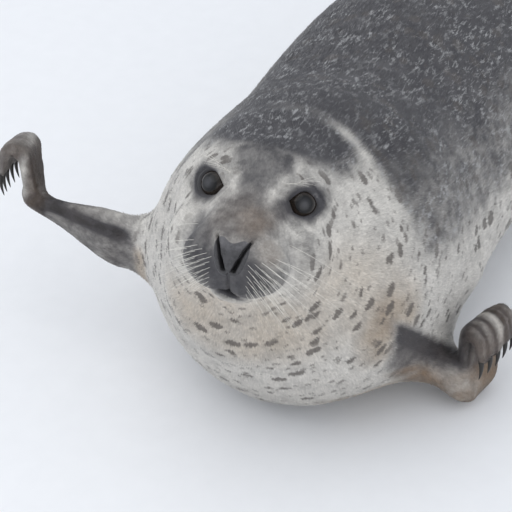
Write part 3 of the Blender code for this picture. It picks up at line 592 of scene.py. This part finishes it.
def markings(points):
    """How dark, brown, warm and spotted the coat is at each place, with painted shade under the belly,
    and its rings round the nose.
    """
    x, y, z = points.T
    head_rows = to_head(points)
    around = np.degrees(np.arctan2(np.abs(x - spine_x(y)), z - np.interp(y, CORE_Y, CORE_Z)))
    behind_fold = y - FOLD_Y - FOLD_LEAN * (z - FOLD_Z)
    on_left = x > spine_x(y)
    edge = np.where(on_left, np.interp(y, MANTLE_Y, MANTLE_LEFT), np.interp(y, MANTLE_Y, MANTLE_RIGHT))
    mantle = fade(behind_fold, 0.004, 0.020 + 0.045 * fade(around, 30.0, 70.0))
    mantle *= fall(around, edge - 8.0, edge + 6.0)
    mantle *= 0.98 - 0.32 * fade(around, edge - 42.0, edge - 10.0)

    head_dark, brown, plain = head_markings(head_rows)
    head_dark = head_dark * fall(behind_fold, 0.0, 0.010)
    # Over the nape the dark of the head and of the back meet. Lower down a pale line parts them along
    # the fold round the neck: pale fur, with a painted highlight on the fold.
    nape = fall(np.where(on_left, around, around * 0.28), 6.0, 15.0)
    nape *= fall(np.abs(behind_fold), 0.018, 0.040)
    # Low on the body the fur is darkened a little: painted shade under the belly.
    belly, feet = fall(z, 0.02, 0.11), on_hind_flipper(points)
    dark = most(mantle, head_dark, 0.92 * nape, 0.12 * belly, 0.78 * feet)
    right, left = right_flipper_markings(points), left_flipper_markings(points)
    arm_dark, arm_brown, arms = np.where(x < 0, right, left)
    dark = dark + (arm_dark - dark) * arms
    root = near(head_rows, (140, -52, -128), (26, 36, 46), 0.6)
    root_strip = fade(-x, 0.090, 0.100) * (y < ARMS_END[1]) * fall(z, *ARM_TOP)
    brown = most(
        brown, arm_brown * arms, 0.50 * root * (1.0 - arms), 0.55 * root_strip * (1.0 - arms)
    )

    warm = most(
        0.50 * near(head_rows, (104, -18, -92), (62, 62, 48), 0.6),
        0.72 * near(head_rows, (10, 10, -130), (90, 60, 44), 0.6),
        0.95 * near(head_rows, (146, -56, -128), (34, 36, 44), 0.6),
        fade(x, 0.11, 0.16) * fade(-y, 0.46, 0.50) * fall(z, 0.040, 0.060),
        root_strip,
    )
    flecked = most(mantle, fade(-head_rows[:, 1], 20.0, 50.0) * (dark > 0.5)) * (1.0 - arms)
    spots = 1.0 - most(mantle * 0.5, plain, arms, 0.9 * feet)
    spots *= 1.0 - 0.85 * near(head_rows, (0, 30, -30), (66, 60, 52), 0.25)
    from_nose = np.linalg.norm(points - np.array(in_head(0, 84, -40)), axis=1)
    return {
        "dark": dark, "brown": brown, "warm": warm * (1.0 - arms), "spots": spots,
        "flecked": flecked, "rings": np.minimum(from_nose, 0.36),
    }


def mark(piece, places):
    """Stores the markings of the places that a piece's points take their colour from."""
    lay_attribute(piece, "place", places)
    for name, values in markings(places).items():
        lay_attribute(piece, name, values)


# ---- materials
class Finish:
    """A material being mixed: adds nodes and joins them to its shader."""

    def __init__(self, name, roughness=0.5, **own):
        self.material = bpy.data.materials.new(name)
        self.material.use_nodes = True
        self.tree = self.material.node_tree
        self.shader = self.tree.nodes["Principled BSDF"]
        self.shader.inputs["Roughness"].default_value = roughness
        for socket, value in own.items():
            self.shader.inputs[socket.replace("_", " ").title()].default_value = value

    def feed(self, socket, value):
        if isinstance(value, bpy.types.NodeSocket):
            self.tree.links.new(value, socket)
        elif isinstance(value, tuple) and len(value) == 3 and socket.type == "RGBA":
            socket.default_value = (*value, 1.0)
        else:
            socket.default_value = value

    def node(self, kind, inputs, **settings):
        node = self.tree.nodes.new("ShaderNode" + kind)
        for name, value in settings.items():
            setattr(node, name, value)
        for name, value in inputs.items():
            self.feed(node.inputs[name], value)
        return node

    def attribute(self, name, vector=False):
        node = self.node("Attribute", {}, attribute_name=name)
        return node.outputs["Vector" if vector else "Fac"]

    def object_place(self):
        return self.node("TexCoord", {}).outputs["Object"]

    def number(self, operation, first, second):
        return self.node("Math", {0: first, 1: second}, operation=operation).outputs[0]

    def times(self, first, second):
        return self.number("MULTIPLY", first, second)

    def step(self, value, low, high, to_low=0.0, to_high=1.0):
        """A smooth step: to_low at low, to_high at high."""
        inputs = {"Value": value, "From Min": low, "From Max": high, "To Min": to_low,
                  "To Max": to_high}
        return self.node("MapRange", inputs, interpolation_type="SMOOTHSTEP").outputs[0]

    def noise(self, place, scale, detail=2.0, roughness=0.5):
        inputs = {"Vector": place, "Scale": scale, "Detail": detail, "Roughness": roughness}
        return self.node("TexNoise", inputs).outputs[0]

    def shifted(self, place, scale, amount):
        """The place, moved about by a noise."""
        cloud = self.node("TexNoise", {"Vector": place, "Scale": scale, "Detail": 2.0})
        centred = self.node(
            "VectorMath", {0: cloud.outputs["Color"], 1: (0.5, 0.5, 0.5)}, operation="SUBTRACT"
        ).outputs[0]
        scaled = self.node("VectorMath", {0: centred, "Scale": amount}, operation="SCALE").outputs[0]
        return self.node("VectorMath", {0: place, 1: scaled}, operation="ADD").outputs[0]

    def mix(self, share, first, second, blend="MIX"):
        node = self.node("Mix", {}, data_type="RGBA", blend_type=blend)
        self.feed(node.inputs[0], share)
        self.feed(node.inputs[6], first)
        self.feed(node.inputs[7], second)
        return node.outputs[2]

    def bump(self, height, depth, strength=1.0):
        inputs = {"Height": height, "Distance": depth, "Strength": strength}
        self.feed(self.shader.inputs["Normal"], self.node("Bump", inputs).outputs[0])

    def colour(self, value):
        self.feed(self.shader.inputs["Base Color"], value)


PALE_FUR = (0.64, 0.612, 0.568)
SLATE_FUR = (0.046, 0.044, 0.050)
INK_FUR = (0.019, 0.0175, 0.0195)
ASH_FUR = (0.40, 0.40, 0.40)
WARM_FUR = (0.50, 0.415, 0.320)
BROWN_FUR = (0.215, 0.150, 0.100)
SPOT_FUR = (0.094, 0.080, 0.071)


def spots_in(fur, place, rings, scale, smallest, biggest):
    """Oval spots, drawn out round the face, each with its own size; some places have none."""
    inputs = {"Vector": place, "W": rings, "Scale": scale}
    cells = fur.node("TexVoronoi", inputs, voronoi_dimensions="4D")
    chance = fur.node("SeparateColor", {0: cells.outputs["Color"]}).outputs[0]
    size = fur.step(chance, 0.25, 1.0, smallest, biggest)
    return fur.step(fur.number("SUBTRACT", cells.outputs["Distance"], size), 0.06, -0.06)


def seal_fur(name, is_skin):
    fur = Finish(name, roughness=0.62, sheen_weight=0.10, sheen_roughness=0.4)
    place = fur.attribute("place", vector=True)
    keys = ("dark", "brown", "warm", "spots", "flecked", "rings")
    dark, brown, warm, spots, flecked, rings = (fur.attribute(key) for key in keys)

    cloud = fur.noise(place, 22.0, 4.0, 0.6)
    tufty = fur.noise(place, 75.0, 3.0, 0.6)
    tufty = fur.step(tufty, 0.3, 0.7, -0.7, 0.7)
    ragged = fur.number("ADD", fur.step(cloud, 0.3, 0.7, -0.5, 0.5), tufty)
    ragged = fur.times(ragged, dark)
    ragged = fur.times(ragged, fur.number("SUBTRACT", 1.0, dark))
    darkness = fur.number("ADD", dark, ragged)
    colour = fur.mix(fur.times(warm, fur.step(cloud, 0.25, 0.7, 0.55, 1.0)), PALE_FUR,
                     WARM_FUR)
    colour = fur.mix(darkness, colour, SLATE_FUR)
    colour = fur.mix(fur.step(darkness, 0.95, 1.30), colour, INK_FUR)
    colour = fur.mix(fur.times(brown, fur.step(cloud, 0.3, 0.7, 0.35, 0.85)), colour,
                     BROWN_FUR)

    # Pale flecks lie along the hair of the dark back, with clouds between them.
    patches = fur.step(fur.noise(place, 26.0, 2.0), 0.35, 0.62, 0.25, 1.0)
    wandering = fur.shifted(place, 70.0, 0.0022)
    drawn_out = fur.node("VectorMath", {0: wandering, 1: (1.0, 0.50, 1.0)}, operation="MULTIPLY")
    flecks = fur.step(fur.noise(drawn_out.outputs[0], 190.0, 3.0, 0.70), 0.52, 0.64)
    flecks = fur.times(fur.times(flecks, flecked), patches)
    colour = fur.mix(fur.times(flecks, 0.75), colour, ASH_FUR)
    mottle = fur.step(fur.noise(place, 48.0, 4.0, 0.65), 0.40, 0.68, 0.0, 0.22)
    colour = fur.mix(mottle, colour, SLATE_FUR)

    stretched = fur.times(rings, 1.8)
    roaming = fur.shifted(place, 60.0, 0.008)
    big = spots_in(fur, roaming, stretched, 56.0, 0.12, 0.52)
    small = spots_in(fur, roaming, stretched, 100.0, 0.04, 0.46)
    spotted = fur.number("MAXIMUM", big, fur.times(small, 0.70))
    spotted = fur.times(spotted, fur.times(spots, 0.80))
    colour = fur.mix(spotted, colour, SPOT_FUR)

    # Every tuft has a tone of its own, and the tips are lighter than the roots.
    grain = fur.noise(place, 420.0, 2.0)
    tone = fur.step(grain, 0.3, 0.7, 0.90, 1.10)
    if not is_skin:
        silver = fur.step(fur.attribute("tuft_tone"), 0.91, 0.98)
        silver = fur.times(silver, fur.times(flecked, patches))
        colour = fur.mix(fur.times(silver, 0.42), colour, ASH_FUR)
        own = fur.step(fur.attribute("tuft_tone"), 0.0, 1.0, 0.90, 1.10)
        tips = fur.step(fur.attribute("along"), 0.0, 1.0, 0.95, 1.06)
        tone = fur.times(tone, fur.times(own, tips))
    grey = fur.node("CombineColor", {0: tone, 1: tone, 2: tone}).outputs[0]
    fur.colour(fur.mix(1.0, colour, grey, "MULTIPLY"))
    if is_skin:
        strands = fur.noise(fur.shifted(place, 300.0, 0.002), 900.0, 3.0, 0.6)
        fur.bump(strands, 0.6 * MM, 0.6)
    return fur.material


def nose_leather():
    leather = Finish("nose_leather", roughness=0.5, coat_weight=0.10, coat_roughness=0.30)
    place = leather.object_place()
    pebbles = leather.node("TexVoronoi", {"Vector": place, "Scale": 620.0}).outputs["Distance"]
    shade = leather.step(leather.noise(place, 150.0, 4.0, 0.65), 0.30, 0.70)
    colour = leather.mix(shade, (0.018, 0.017, 0.019), (0.056, 0.054, 0.058))
    top = leather.mix(shade, (0.056, 0.054, 0.058), (0.110, 0.106, 0.113))
    # Lighter towards the top of the nose: painted light where the leather faces up.
    colour = leather.mix(leather.attribute("lit_crest"), colour, top)
    # Near black in the nostril grooves: painted shade.
    leather.colour(leather.mix(leather.attribute("nostril_shade"), colour, (0.012, 0.011, 0.012)))
    leather.bump(pebbles, 0.5 * MM, 0.9)
    return leather.material


def wet_eye():
    eye = Finish("wet_eye", roughness=0.06)
    angle = eye.attribute("from_pupil")
    place = eye.object_place()
    streaks = eye.noise(place, 900.0, 3.0)
    iris = eye.mix(eye.step(streaks, 0.3, 0.7), (0.008, 0.006, 0.005), (0.022, 0.015, 0.011))
    colour = eye.mix(eye.step(angle, 24.0, 30.0), (0.002, 0.002, 0.002), iris)
    rim = eye.step(angle, 44.0, 56.0)
    veins = eye.mix(eye.noise(place, 250.0, 3.0), (0.010, 0.008, 0.008), (0.024, 0.018, 0.016))
    colour = eye.mix(rim, colour, veins)
    # A faint painted reflection lies over the pupil: lighter grey at its middle, fading out towards
    # its edge.
    eye.colour(eye.mix(eye.step(angle, 0.0, 27.0, 1.0, 0.0), colour, (0.046, 0.046, 0.051)))
    eye.feed(eye.shader.inputs["Specular IOR Level"], 0.30)
    return eye.material


def claw_horn():
    horn = Finish("claw_horn", roughness=0.44)
    place = horn.object_place()
    ridges = horn.noise(place, 700.0, 3.0)
    horn.colour(horn.mix(ridges, (0.008, 0.008, 0.008), (0.026, 0.023, 0.020)))
    horn.bump(ridges, 0.2 * MM, 0.6)
    return horn.material


def whisker_horn():
    horn = Finish("whisker_horn", roughness=0.40)
    place = horn.object_place()
    beads = horn.noise(place, 260.0, 1.0)
    horn.colour(horn.mix(beads, (0.62, 0.59, 0.52), (0.86, 0.84, 0.78)))
    return horn.material


def floor_finish():
    floor = Finish("floor_finish", roughness=0.85)
    place = floor.object_place()
    grain = floor.noise(place, 40.0, 4.0)
    floor.colour(floor.mix(grain, (0.83, 0.835, 0.85), (0.87, 0.875, 0.89)))
    floor.bump(grain, 0.3 * MM, 0.3)
    return floor.material


# ---- the coat
# Slot, tufts, their length and width in mm, and how steeply they stand in degrees.
COAT = {
    "coat_face": ("fur_head", 49000, 5.0, 0.85, 7),
    "coat_neck_left": ("fur_pale", 49000, 8.5, 1.25, 7),
    "coat_neck_right": ("fur_pale", 49000, 8.5, 1.25, 7),
    "coat_trunk_front": ("fur_mantle", 49000, 11.0, 1.8, 7),
    "coat_trunk_rear": ("fur_mantle", 36000, 12.0, 2.0, 7),
    "coat_hips": ("fur_mantle", 30000, 9.0, 1.5, 7),
    "coat_fore_flippers": ("fur_flipper", 40000, 4.5, 0.9, 6),
}
COAT_ROOT = 0.35 * MM  # how far a tuft's root is sunk in the skin
STRAY, LEAN = 0.16, 0.12  # how unevenly tufts point and catch the light
COLOUR_REACH = 0.72  # how far along a tuft the markings of the skin are carried
PATCH = 0.003  # the size of a tuft in the map OFBake
LIDS_BARE = 1.12  # the level round an eye within which no fur grows
REAR_START, HIPS_START = -0.08, 0.26  # along Y
NECK_MIDDLE = 0.075  # X
FACE_COAT, FACE_COAT_BACK = 112.0, -45.0  # mm
RIGHT_HAND, LEFT_HAND = -0.235, 0.255  # X, past which the hair lies up and over a hand
BACK_OF_HAND = 0.284  # out from the middle, past which the digits turn down


def coat_area(centres):
    """The number of the coat piece that each place belongs to."""
    face, neck_left, neck_right, trunk_front, trunk_rear, hips, fore_flippers = range(len(COAT))
    x, y, _ = centres.T
    head_rows = to_head(centres)
    area = np.full(len(centres), hips)
    area[y < HIPS_START] = trunk_rear
    area[y < REAR_START] = trunk_front
    area[(y < NECK_END) & (x > NECK_MIDDLE)] = neck_left
    area[(y < NECK_END) & (x <= NECK_MIDDLE)] = neck_right
    on_head = np.linalg.norm(head_rows, axis=1) < FACE_COAT
    area[on_head & (head_rows[:, 1] > FACE_COAT_BACK)] = face
    area[on_fore_flipper(centres) > 0.5] = fore_flippers
    return area


def is_bare(points):
    """Where no fur grows: under the belly, on the nose, in the mouth and between the lids."""
    head_rows = to_head(points)
    bare = (points[:, 2] < 2.0 * MM) | (nose_level(head_rows) < 1.0)
    bare |= front_distance(head_rows, MOUTH_PATH) < 1.6
    for side in SIDES:
        level, reach, _ = opening_level(side, head_rows)
        bare |= (level < LIDS_BARE) & (reach < EYE_NEAR)
    return bare


def nose_level(head_rows):
    """Less than 1 on the bare leather of the nose."""
    sideways, forward, up = head_rows.T
    up = up - NOSE_MIDDLE
    across = np.abs(sideways) / (NOSE_REACH[0] * (1.0 + NOSE_FLARE * up))
    height = NOSE_REACH[1] - NOSE_DIP * band(sideways, 0.0, 8.0) * (up > 0.0)
    level = (across**3 + (np.abs(up) / height) ** 3) ** (1 / 3)
    return np.where(forward > NOSE_FRONT, level, OUTSIDE)


def lie_of_the_coat(points, normals):
    """The way the hair points along the skin: back from the nose, and out along the flippers."""
    from_nose = unit(points - np.array(in_head(0, 90, -34)))
    backward = np.zeros_like(points)
    backward[:, 1] = 1.0
    backward[:, 0] = 2 * BEND * np.maximum(0.0, points[:, 1] - BEND_START) / BEND_REACH**2
    on_trunk = fade(points[:, 1], -0.60, -0.36)[:, None]
    way = from_nose * (1.0 - on_trunk) + backward * on_trunk
    x = points[:, :1]
    up_the_hand = np.where(np.abs(x) > BACK_OF_HAND, (0.0, 0.0, -1.0), (0.0, 0.0, 1.0))
    arm_right = np.where(x < RIGHT_HAND, up_the_hand, (-1.0, 0.05, 0.1))
    arm_left = np.where(x > LEFT_HAND, up_the_hand, (0.9, 0.45, -0.3))
    arm = np.where(x < 0.0, arm_right, arm_left)
    on_arm = on_fore_flipper(points)[:, None]
    way = way * (1.0 - on_arm) + arm * on_arm
    return unit(way - normals * np.sum(way * normals, axis=1)[:, None])


def laid_flat(name, points, triangles):
    """A part of the skin unwrapped: a UV for each corner of each triangle."""
    used, faces = np.unique(triangles, return_inverse=True)
    mesh = bpy.data.meshes.new(name + "_flat")
    mesh.from_pydata(points[used], [], faces.reshape(-1, 3))
    mesh.uv_layers.new(name="flat")
    sheet = add_object(name + "_flat", mesh)
    only(sheet)
    bpy.ops.object.mode_set(mode="EDIT")
    bpy.ops.mesh.select_all(action="SELECT")
    bpy.ops.uv.smart_project(angle_limit=math.radians(66), island_margin=0.003)
    bpy.ops.object.mode_set(mode="OBJECT")
    rows = rows_of(mesh.uv_layers[0].data, "uv", 2)
    bpy.data.objects.remove(sheet)
    bpy.data.meshes.remove(mesh)
    return rows.reshape(-1, 3, 2)


def tufts(name, points, normals, triangles, material):
    """Lays one area of the coat: thin pointed tufts, rooted evenly over its part of the skin."""
    count, length, width, stand = COAT[name][1:]
    corners = points[triangles]
    flat = laid_flat(name, points, triangles)
    area = np.linalg.norm(
        np.cross(corners[:, 1] - corners[:, 0], corners[:, 2] - corners[:, 0]), axis=1
    )
    size = fur_size(corners.mean(axis=1))
    weight = area * ~is_bare(corners.mean(axis=1)) / size**1.6
    chosen = rng.choice(len(triangles), count, p=weight / weight.sum())
    share = rng.random((count, 2))
    share = np.where(share.sum(axis=1)[:, None] > 1.0, 1.0 - share, share)
    mixture = np.column_stack((1.0 - share.sum(axis=1), share))[:, :, None]

    root = (corners[chosen] * mixture).sum(axis=1)
    outward = unit((normals[triangles][chosen] * mixture).sum(axis=1))
    spot = (flat[chosen] * mixture).sum(axis=1)
    growing = ~is_bare(root)
    root, outward, spot = root[growing], outward[growing], spot[growing]
    count = len(root)

    way = lie_of_the_coat(root, outward)
    across = np.cross(outward, way)
    way = unit(way + across * rng.normal(0.0, STRAY, count)[:, None])
    across = np.cross(outward, way)
    size = fur_size(root) * rng.uniform(0.75, 1.25, count)
    rise = np.radians(stand * rng.uniform(0.4, 1.5, count))[:, None]
    long = (length * MM * size)[:, None]
    half = (width * MM / 2 * np.sqrt(size) * rng.uniform(0.8, 1.2, count))[:, None]
    base = root - outward * COAT_ROOT
    ends = np.stack((
        base - across * half,
        base + across * half,
        base + outward * (half * 0.7 + COAT_ROOT * 0.6) + way * long * 0.25,
        base + outward * (np.sin(rise) * long + COAT_ROOT * 0.3) + way * np.cos(rise) * long,
    ), axis=1)
    ends[:, :, 2] = np.maximum(ends[:, :, 2], 0.15 * MM)
    faces = np.array([(0, 2, 1), (0, 3, 2), (1, 2, 3), (0, 1, 3)])
    faces = (np.arange(count)[:, None, None] * 4 + faces).reshape(-1, 3)
    piece = new_piece(name, ends.reshape(-1, 3), faces, material)

    rounding = np.array([-0.55, 0.55, 0.0, 0.0])[None, :, None]
    lean = rng.normal(0.0, LEAN, (count, 1, 1))
    facing = unit(outward[:, None] + across[:, None] * (rounding + lean))
    piece.data.normals_split_custom_set_from_vertices(facing.reshape(-1, 3))

    mark(piece, (root[:, None] + (ends - ends[:, :1]) * COLOUR_REACH).reshape(-1, 3))
    lay_attribute(piece, "tuft_tone", np.repeat(rng.random(count), 4))
    lay_attribute(piece, "along", np.tile([0.0, 0.0, 0.35, 1.0], count))

    patch = np.array([(-0.5, -0.5), (0.5, -0.5), (0.0, 0.0), (0.0, 0.5)]) * PATCH
    spread = (spot[:, None] + patch).reshape(-1, 2)
    layer = piece.data.uv_layers.new(name="OFBake")
    layer.data.foreach_set("uv", spread[faces.ravel()].astype(np.float32).ravel())
    return piece


def fur_size(points):
    """The length of the hair at each place as a share of its piece's."""
    head_rows = to_head(points)
    muzzle = near(head_rows, (0, 64, -50), (50, 34, 44), 0.4)
    lids = both_sides(head_rows, (48, -3, -1), (28, 30, 24), 0.3)
    feet = on_hind_flipper(points)
    hands = fade(np.abs(points[:, 0]), 0.24, 0.29) * (points[:, 1] < ARMS_END[1])
    return 1.0 - most(0.45 * muzzle, 0.5 * lids, 0.5 * feet, 0.35 * hands)


def make_coat(skin, material):
    points, normals = points_of(skin), normals_of(skin)
    skin.data.calc_loop_triangles()
    triangles = rows_of(skin.data.loop_triangles, "vertices").astype(int)
    area = coat_area(points[triangles].mean(axis=1))
    return [
        tufts(name, points, normals, triangles[area == number], material)
        for number, name in enumerate(COAT)
    ]


# ---- eyes, nose, claws and whiskers
HAIR_SIDES, HAIR_STEPS = 6, 14
# Each side's shortest whisker and how much longer each column is, in mm.
WHISKERS = {"left": (24.0, 13.0), "right": (17.0, 5.0)}
WHISKER_ROWS, WHISKER_THICK = 7, 0.38
BROW_WHISKERS, BROW_THICK = 5, 0.45
REACH_OF_PADS = 0.11  # m, past which a whisker's line would miss its pad


def make_eye(side, material):
    """A glossy ball whose clear front stands a little proud."""
    bpy.ops.object.select_all(action="DESELECT")
    bpy.ops.mesh.primitive_uv_sphere_add(segments=64, ring_count=48, radius=EYE_RADIUS * MM)
    eye = bpy.context.view_layer.objects.active
    eye.name = eye.data.name = "eyeball_" + side
    cover(eye, material)
    rows = points_of(eye)
    angle = np.degrees(np.arccos(np.clip(rows[:, 2] / (EYE_RADIUS * MM), -1.0, 1.0)))
    bulge = 1.0 + 0.055 * fall(angle, 20.0, 48.0)
    turn = HEAD_AXES @ Matrix(eye_axes(side)).transposed()
    rows = (rows * bulge[:, None]) @ np.array(turn).T + np.array(EYEBALL[side])
    set_points(eye, rows)
    lay_attribute(eye, "from_pupil", angle)
    return eye


def make_nose(skin, material):
    """The bare leather: a thin shell just over the skin, its edge tucked under the fur."""
    nose = add_object("nose", skin.data.copy())
    nose.data.name = "nose"
    edit_faces(nose, nose_level(to_head(face_centres(nose))) >= NOSE_TUCK)
    bpy.ops.mesh.delete(type="FACE")
    bpy.ops.object.mode_set(mode="OBJECT")
    rows, normals = points_of(nose), normals_of(nose)
    level = nose_level(to_head(rows))
    proud = 0.45 - 1.1 * fade(level, 0.92, NOSE_TUCK)
    set_points(nose, rows + normals * (proud * MM)[:, None])
    finish_with(nose, "SOLIDIFY", thickness=1.0 * MM, offset=-1.0)
    head_rows = to_head(points_of(nose))
    gap = front_distance(head_rows, NOSTRIL_PATH)
    gap = np.minimum(gap, front_distance(head_rows, mirrored(NOSTRIL_PATH)))
    # Painted shade in the nostrils.
    lay_attribute(nose, "nostril_shade", fall(gap, 0.8, 3.6))
    # Painted light on the top of the nose.
    lay_attribute(nose, "lit_crest", fade(head_rows[:, 2], -30.0, -18.0))
    cover(nose, material)
    return nose


def claw_nodes(limb, side):
    return [f"claw_{limb}_{side}_{number}" for number in range(1, 6)]


def make_claws(limb, side, material):
    """The five claws of one flipper, smooth and rounded."""
    claws = joined_copy(f"claws_{limb}_{side}", claw_nodes(limb, side))
    bpy.ops.object.mode_set(mode="EDIT")
    bpy.ops.mesh.tris_convert_to_quads()
    bpy.ops.object.mode_set(mode="OBJECT")
    finish_with(claws, "SUBSURF", levels=2, render_levels=2)
    cover(claws, material)
    return claws


def hair_tubes(name, lines, thick, material):
    """Tapered tubes along lines of points, as one mesh."""
    sides = HAIR_SIDES
    points, faces = [], []
    turns = np.linspace(0.0, 2 * np.pi, sides, endpoint=False)
    for line in lines:
        line = np.array(line)
        along = unit(np.gradient(line, axis=0))
        first = unit(np.cross(along, (0.31, 0.12, 0.94)))
        second = np.cross(along, first)
        taper = thick * MM / 2 * (1.0 - 0.85 * np.linspace(0.0, 1.0, len(line)) ** 1.3)
        start = len(points)
        for middle, one, other, radius in zip(line, first, second, taper):
            points += [middle + radius * (one * np.cos(t) + other * np.sin(t)) for t in turns]
        for ring in range(len(line) - 1):
            low = start + ring * sides
            for k in range(sides):
                after = (k + 1) % sides
                faces.append((low + k, low + after, low + sides + after, low + sides + k))
        faces.append(tuple(range(start + sides - 1, start - 1, -1)))
        faces.append(tuple(range(len(points) - sides, len(points))))
    return new_piece(name, np.array(points), faces, material)


def hair_line(root, way, length, droop):
    """A hair from its root, which bends down and back as it goes."""
    line, at, heading = [], Vector(root), Vector(way).normalized()
    bend = (Vector((0, 0, -1)) - FORWARD * 0.6) * droop / HAIR_STEPS
    for _ in range(HAIR_STEPS + 1):
        line.append(tuple(at))
        at = at + heading * length / HAIR_STEPS
        heading = (heading + bend).normalized()
    return line


def whisker_roots(side, surface):
    """The places of one side's whiskers, the skin's normals there and their lengths in mm.

    Rows are 6 mm apart and columns 5.6 mm, and the upper rows are longer.
    """
    shortest, growth = WHISKERS[side]
    for row in range(WHISKER_ROWS):
        columns = 4 + (row < 5) + (row < 3)
        for column in range(columns):
            sideways = SIDES[side] * (17.0 + 5.6 * column + 1.2 * (row % 2))
            up = -37.0 - 6.0 * row + 1.4 * column
            start = in_head(sideways, 140.0, up)
            hit, normal, _, _ = surface.ray_cast(start, -FORWARD)
            if hit is not None and (hit - start).length < REACH_OF_PADS:
                yield hit, normal, shortest + growth * column + rng.uniform(-4.0, 4.0)


def make_whiskers(side, surface, material):
    lines = []
    for root, normal, length in whisker_roots(side, surface):
        outward = LEFT * SIDES[side]
        jitter = Vector(rng.normal(0.0, 0.07, 3))
        way = outward * 0.85 + FORWARD * 0.10 - UP * 0.38 + normal * 0.45 + jitter
        lines.append(hair_line(root - normal * 0.001, way, length * MM, 0.55))
    return hair_tubes("whiskers_" + side, lines, WHISKER_THICK, material)


def make_brow_whiskers(surface, material):
    lines = []
    for side in SIDES:
        for number in range(BROW_WHISKERS):
            sideways = SIDES[side] * (27.0 + 3.5 * number)
            start = in_head(sideways, 4.0 - 3.0 * number, 120.0)
            hit, normal, _, _ = surface.ray_cast(start, -UP)
            way = normal * 0.6 + LEFT * SIDES[side] * 0.5 + FORWARD * 0.5 + UP * 0.2
            lines.append(hair_line(hit - normal * 0.001, way, (26.0 + 3.0 * number) * MM, 0.5))
    return hair_tubes("brow_whiskers", lines, BROW_THICK, material)


# ---- floor, light and camera
CAMERA_AZIMUTH, CAMERA_ELEVATION = math.radians(25.0), math.radians(37.0)
CAMERA_DISTANCE, CAMERA_LENS = 1.70, 124.3
CAMERA_AIM = Vector((0.015, -0.033, -0.048))  # from the point between the eyes
ROOM_LIGHT = (0.90, 0.94, 1.0, 1.0), 0.91  # colour and strength
# Size, watts, place, aim and colour of each lamp.
LAMPS = {
    "overhead": (3.2, 18.0, (-0.6, -1.0, 2.6), (0.05, -0.4, 0.1), (1.0, 0.99, 0.97)),
    "left_fill": (2.4, 6.0, (-2.0, -1.6, 1.0), (0.05, -0.4, 0.1), (0.95, 0.97, 1.0)),
    "right_fill": (2.4, 9.0, (1.9, -2.0, 0.8), (0.15, -0.45, 0.05), (1.0, 0.98, 0.95)),
}
FLOOR_SIZE, SENSOR = 12.0, 36.0


def make_floor(material):
    bpy.ops.object.select_all(action="DESELECT")
    bpy.ops.mesh.primitive_plane_add(size=FLOOR_SIZE)
    floor = bpy.context.view_layer.objects.active
    floor.name = floor.data.name = "floor"
    floor.data.materials.append(material)


def add_lamp(name, size, power, place, aim, colour):
    light = bpy.data.lights.new(name, "AREA")
    light.shape, light.size, light.energy, light.color = "DISK", size, power, colour
    lamp = add_object(name, light)
    lamp.location = place
    lamp.rotation_euler = (Vector(aim) - Vector(place)).to_track_quat("-Z", "Y").to_euler()


def light_the_room():
    world = bpy.data.worlds.new("pale_room")
    world.use_nodes = True
    background = world.node_tree.nodes["Background"].inputs
    background["Color"].default_value, background["Strength"].default_value = ROOM_LIGHT
    bpy.context.scene.world = world
    for name, lamp in LAMPS.items():
        add_lamp(name, *lamp)


def set_camera():
    back = Vector((
        math.sin(CAMERA_AZIMUTH) * math.cos(CAMERA_ELEVATION),
        -math.cos(CAMERA_AZIMUTH) * math.cos(CAMERA_ELEVATION),
        math.sin(CAMERA_ELEVATION),
    ))
    lens = bpy.data.cameras.new("camera")
    lens.lens, lens.sensor_width = CAMERA_LENS, SENSOR
    camera = add_object("camera", lens)
    camera.location = HEAD_AT + CAMERA_AIM + back * CAMERA_DISTANCE
    camera.rotation_euler = (-back).to_track_quat("-Z", "Y").to_euler()
    bpy.context.scene.camera = camera
    bpy.context.scene.view_settings.view_transform = "Standard"


# ---- the seal
def place_piece(piece, slot, *nodes):
    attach(piece, "root")
    if nodes:
        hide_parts(*nodes)


def main():
    set_camera()
    light_the_room()
    make_floor(floor_finish())

    skin = make_skin()
    thin_the_skin(skin)
    model_face(skin)
    cover(skin, seal_fur("seal_skin", is_skin=True))
    mark(skin, points_of(skin))
    surface = BVHTree.FromObject(skin, bpy.context.evaluated_depsgraph_get())
    nose = make_nose(skin, nose_leather())
    place_piece(skin, "fur_head", *(node for node in FLESH if node != "nose_pad"))
    place_piece(nose, "nose_leather", "nose_pad")

    for piece in make_coat(skin, seal_fur("seal_coat", is_skin=False)):
        place_piece(piece, COAT[piece.name][0])

    eye = wet_eye()
    for side in SIDES:
        place_piece(make_eye(side, eye), "eye", "eye_" + side)
    horn = claw_horn()
    for limb in ("fore", "hind"):
        for side in SIDES:
            place_piece(make_claws(limb, side, horn), "claw", *claw_nodes(limb, side))
    hair = whisker_horn()
    for side in SIDES:
        place_piece(make_whiskers(side, surface, hair), "claw")
    place_piece(make_brow_whiskers(surface, hair), "claw")


main()
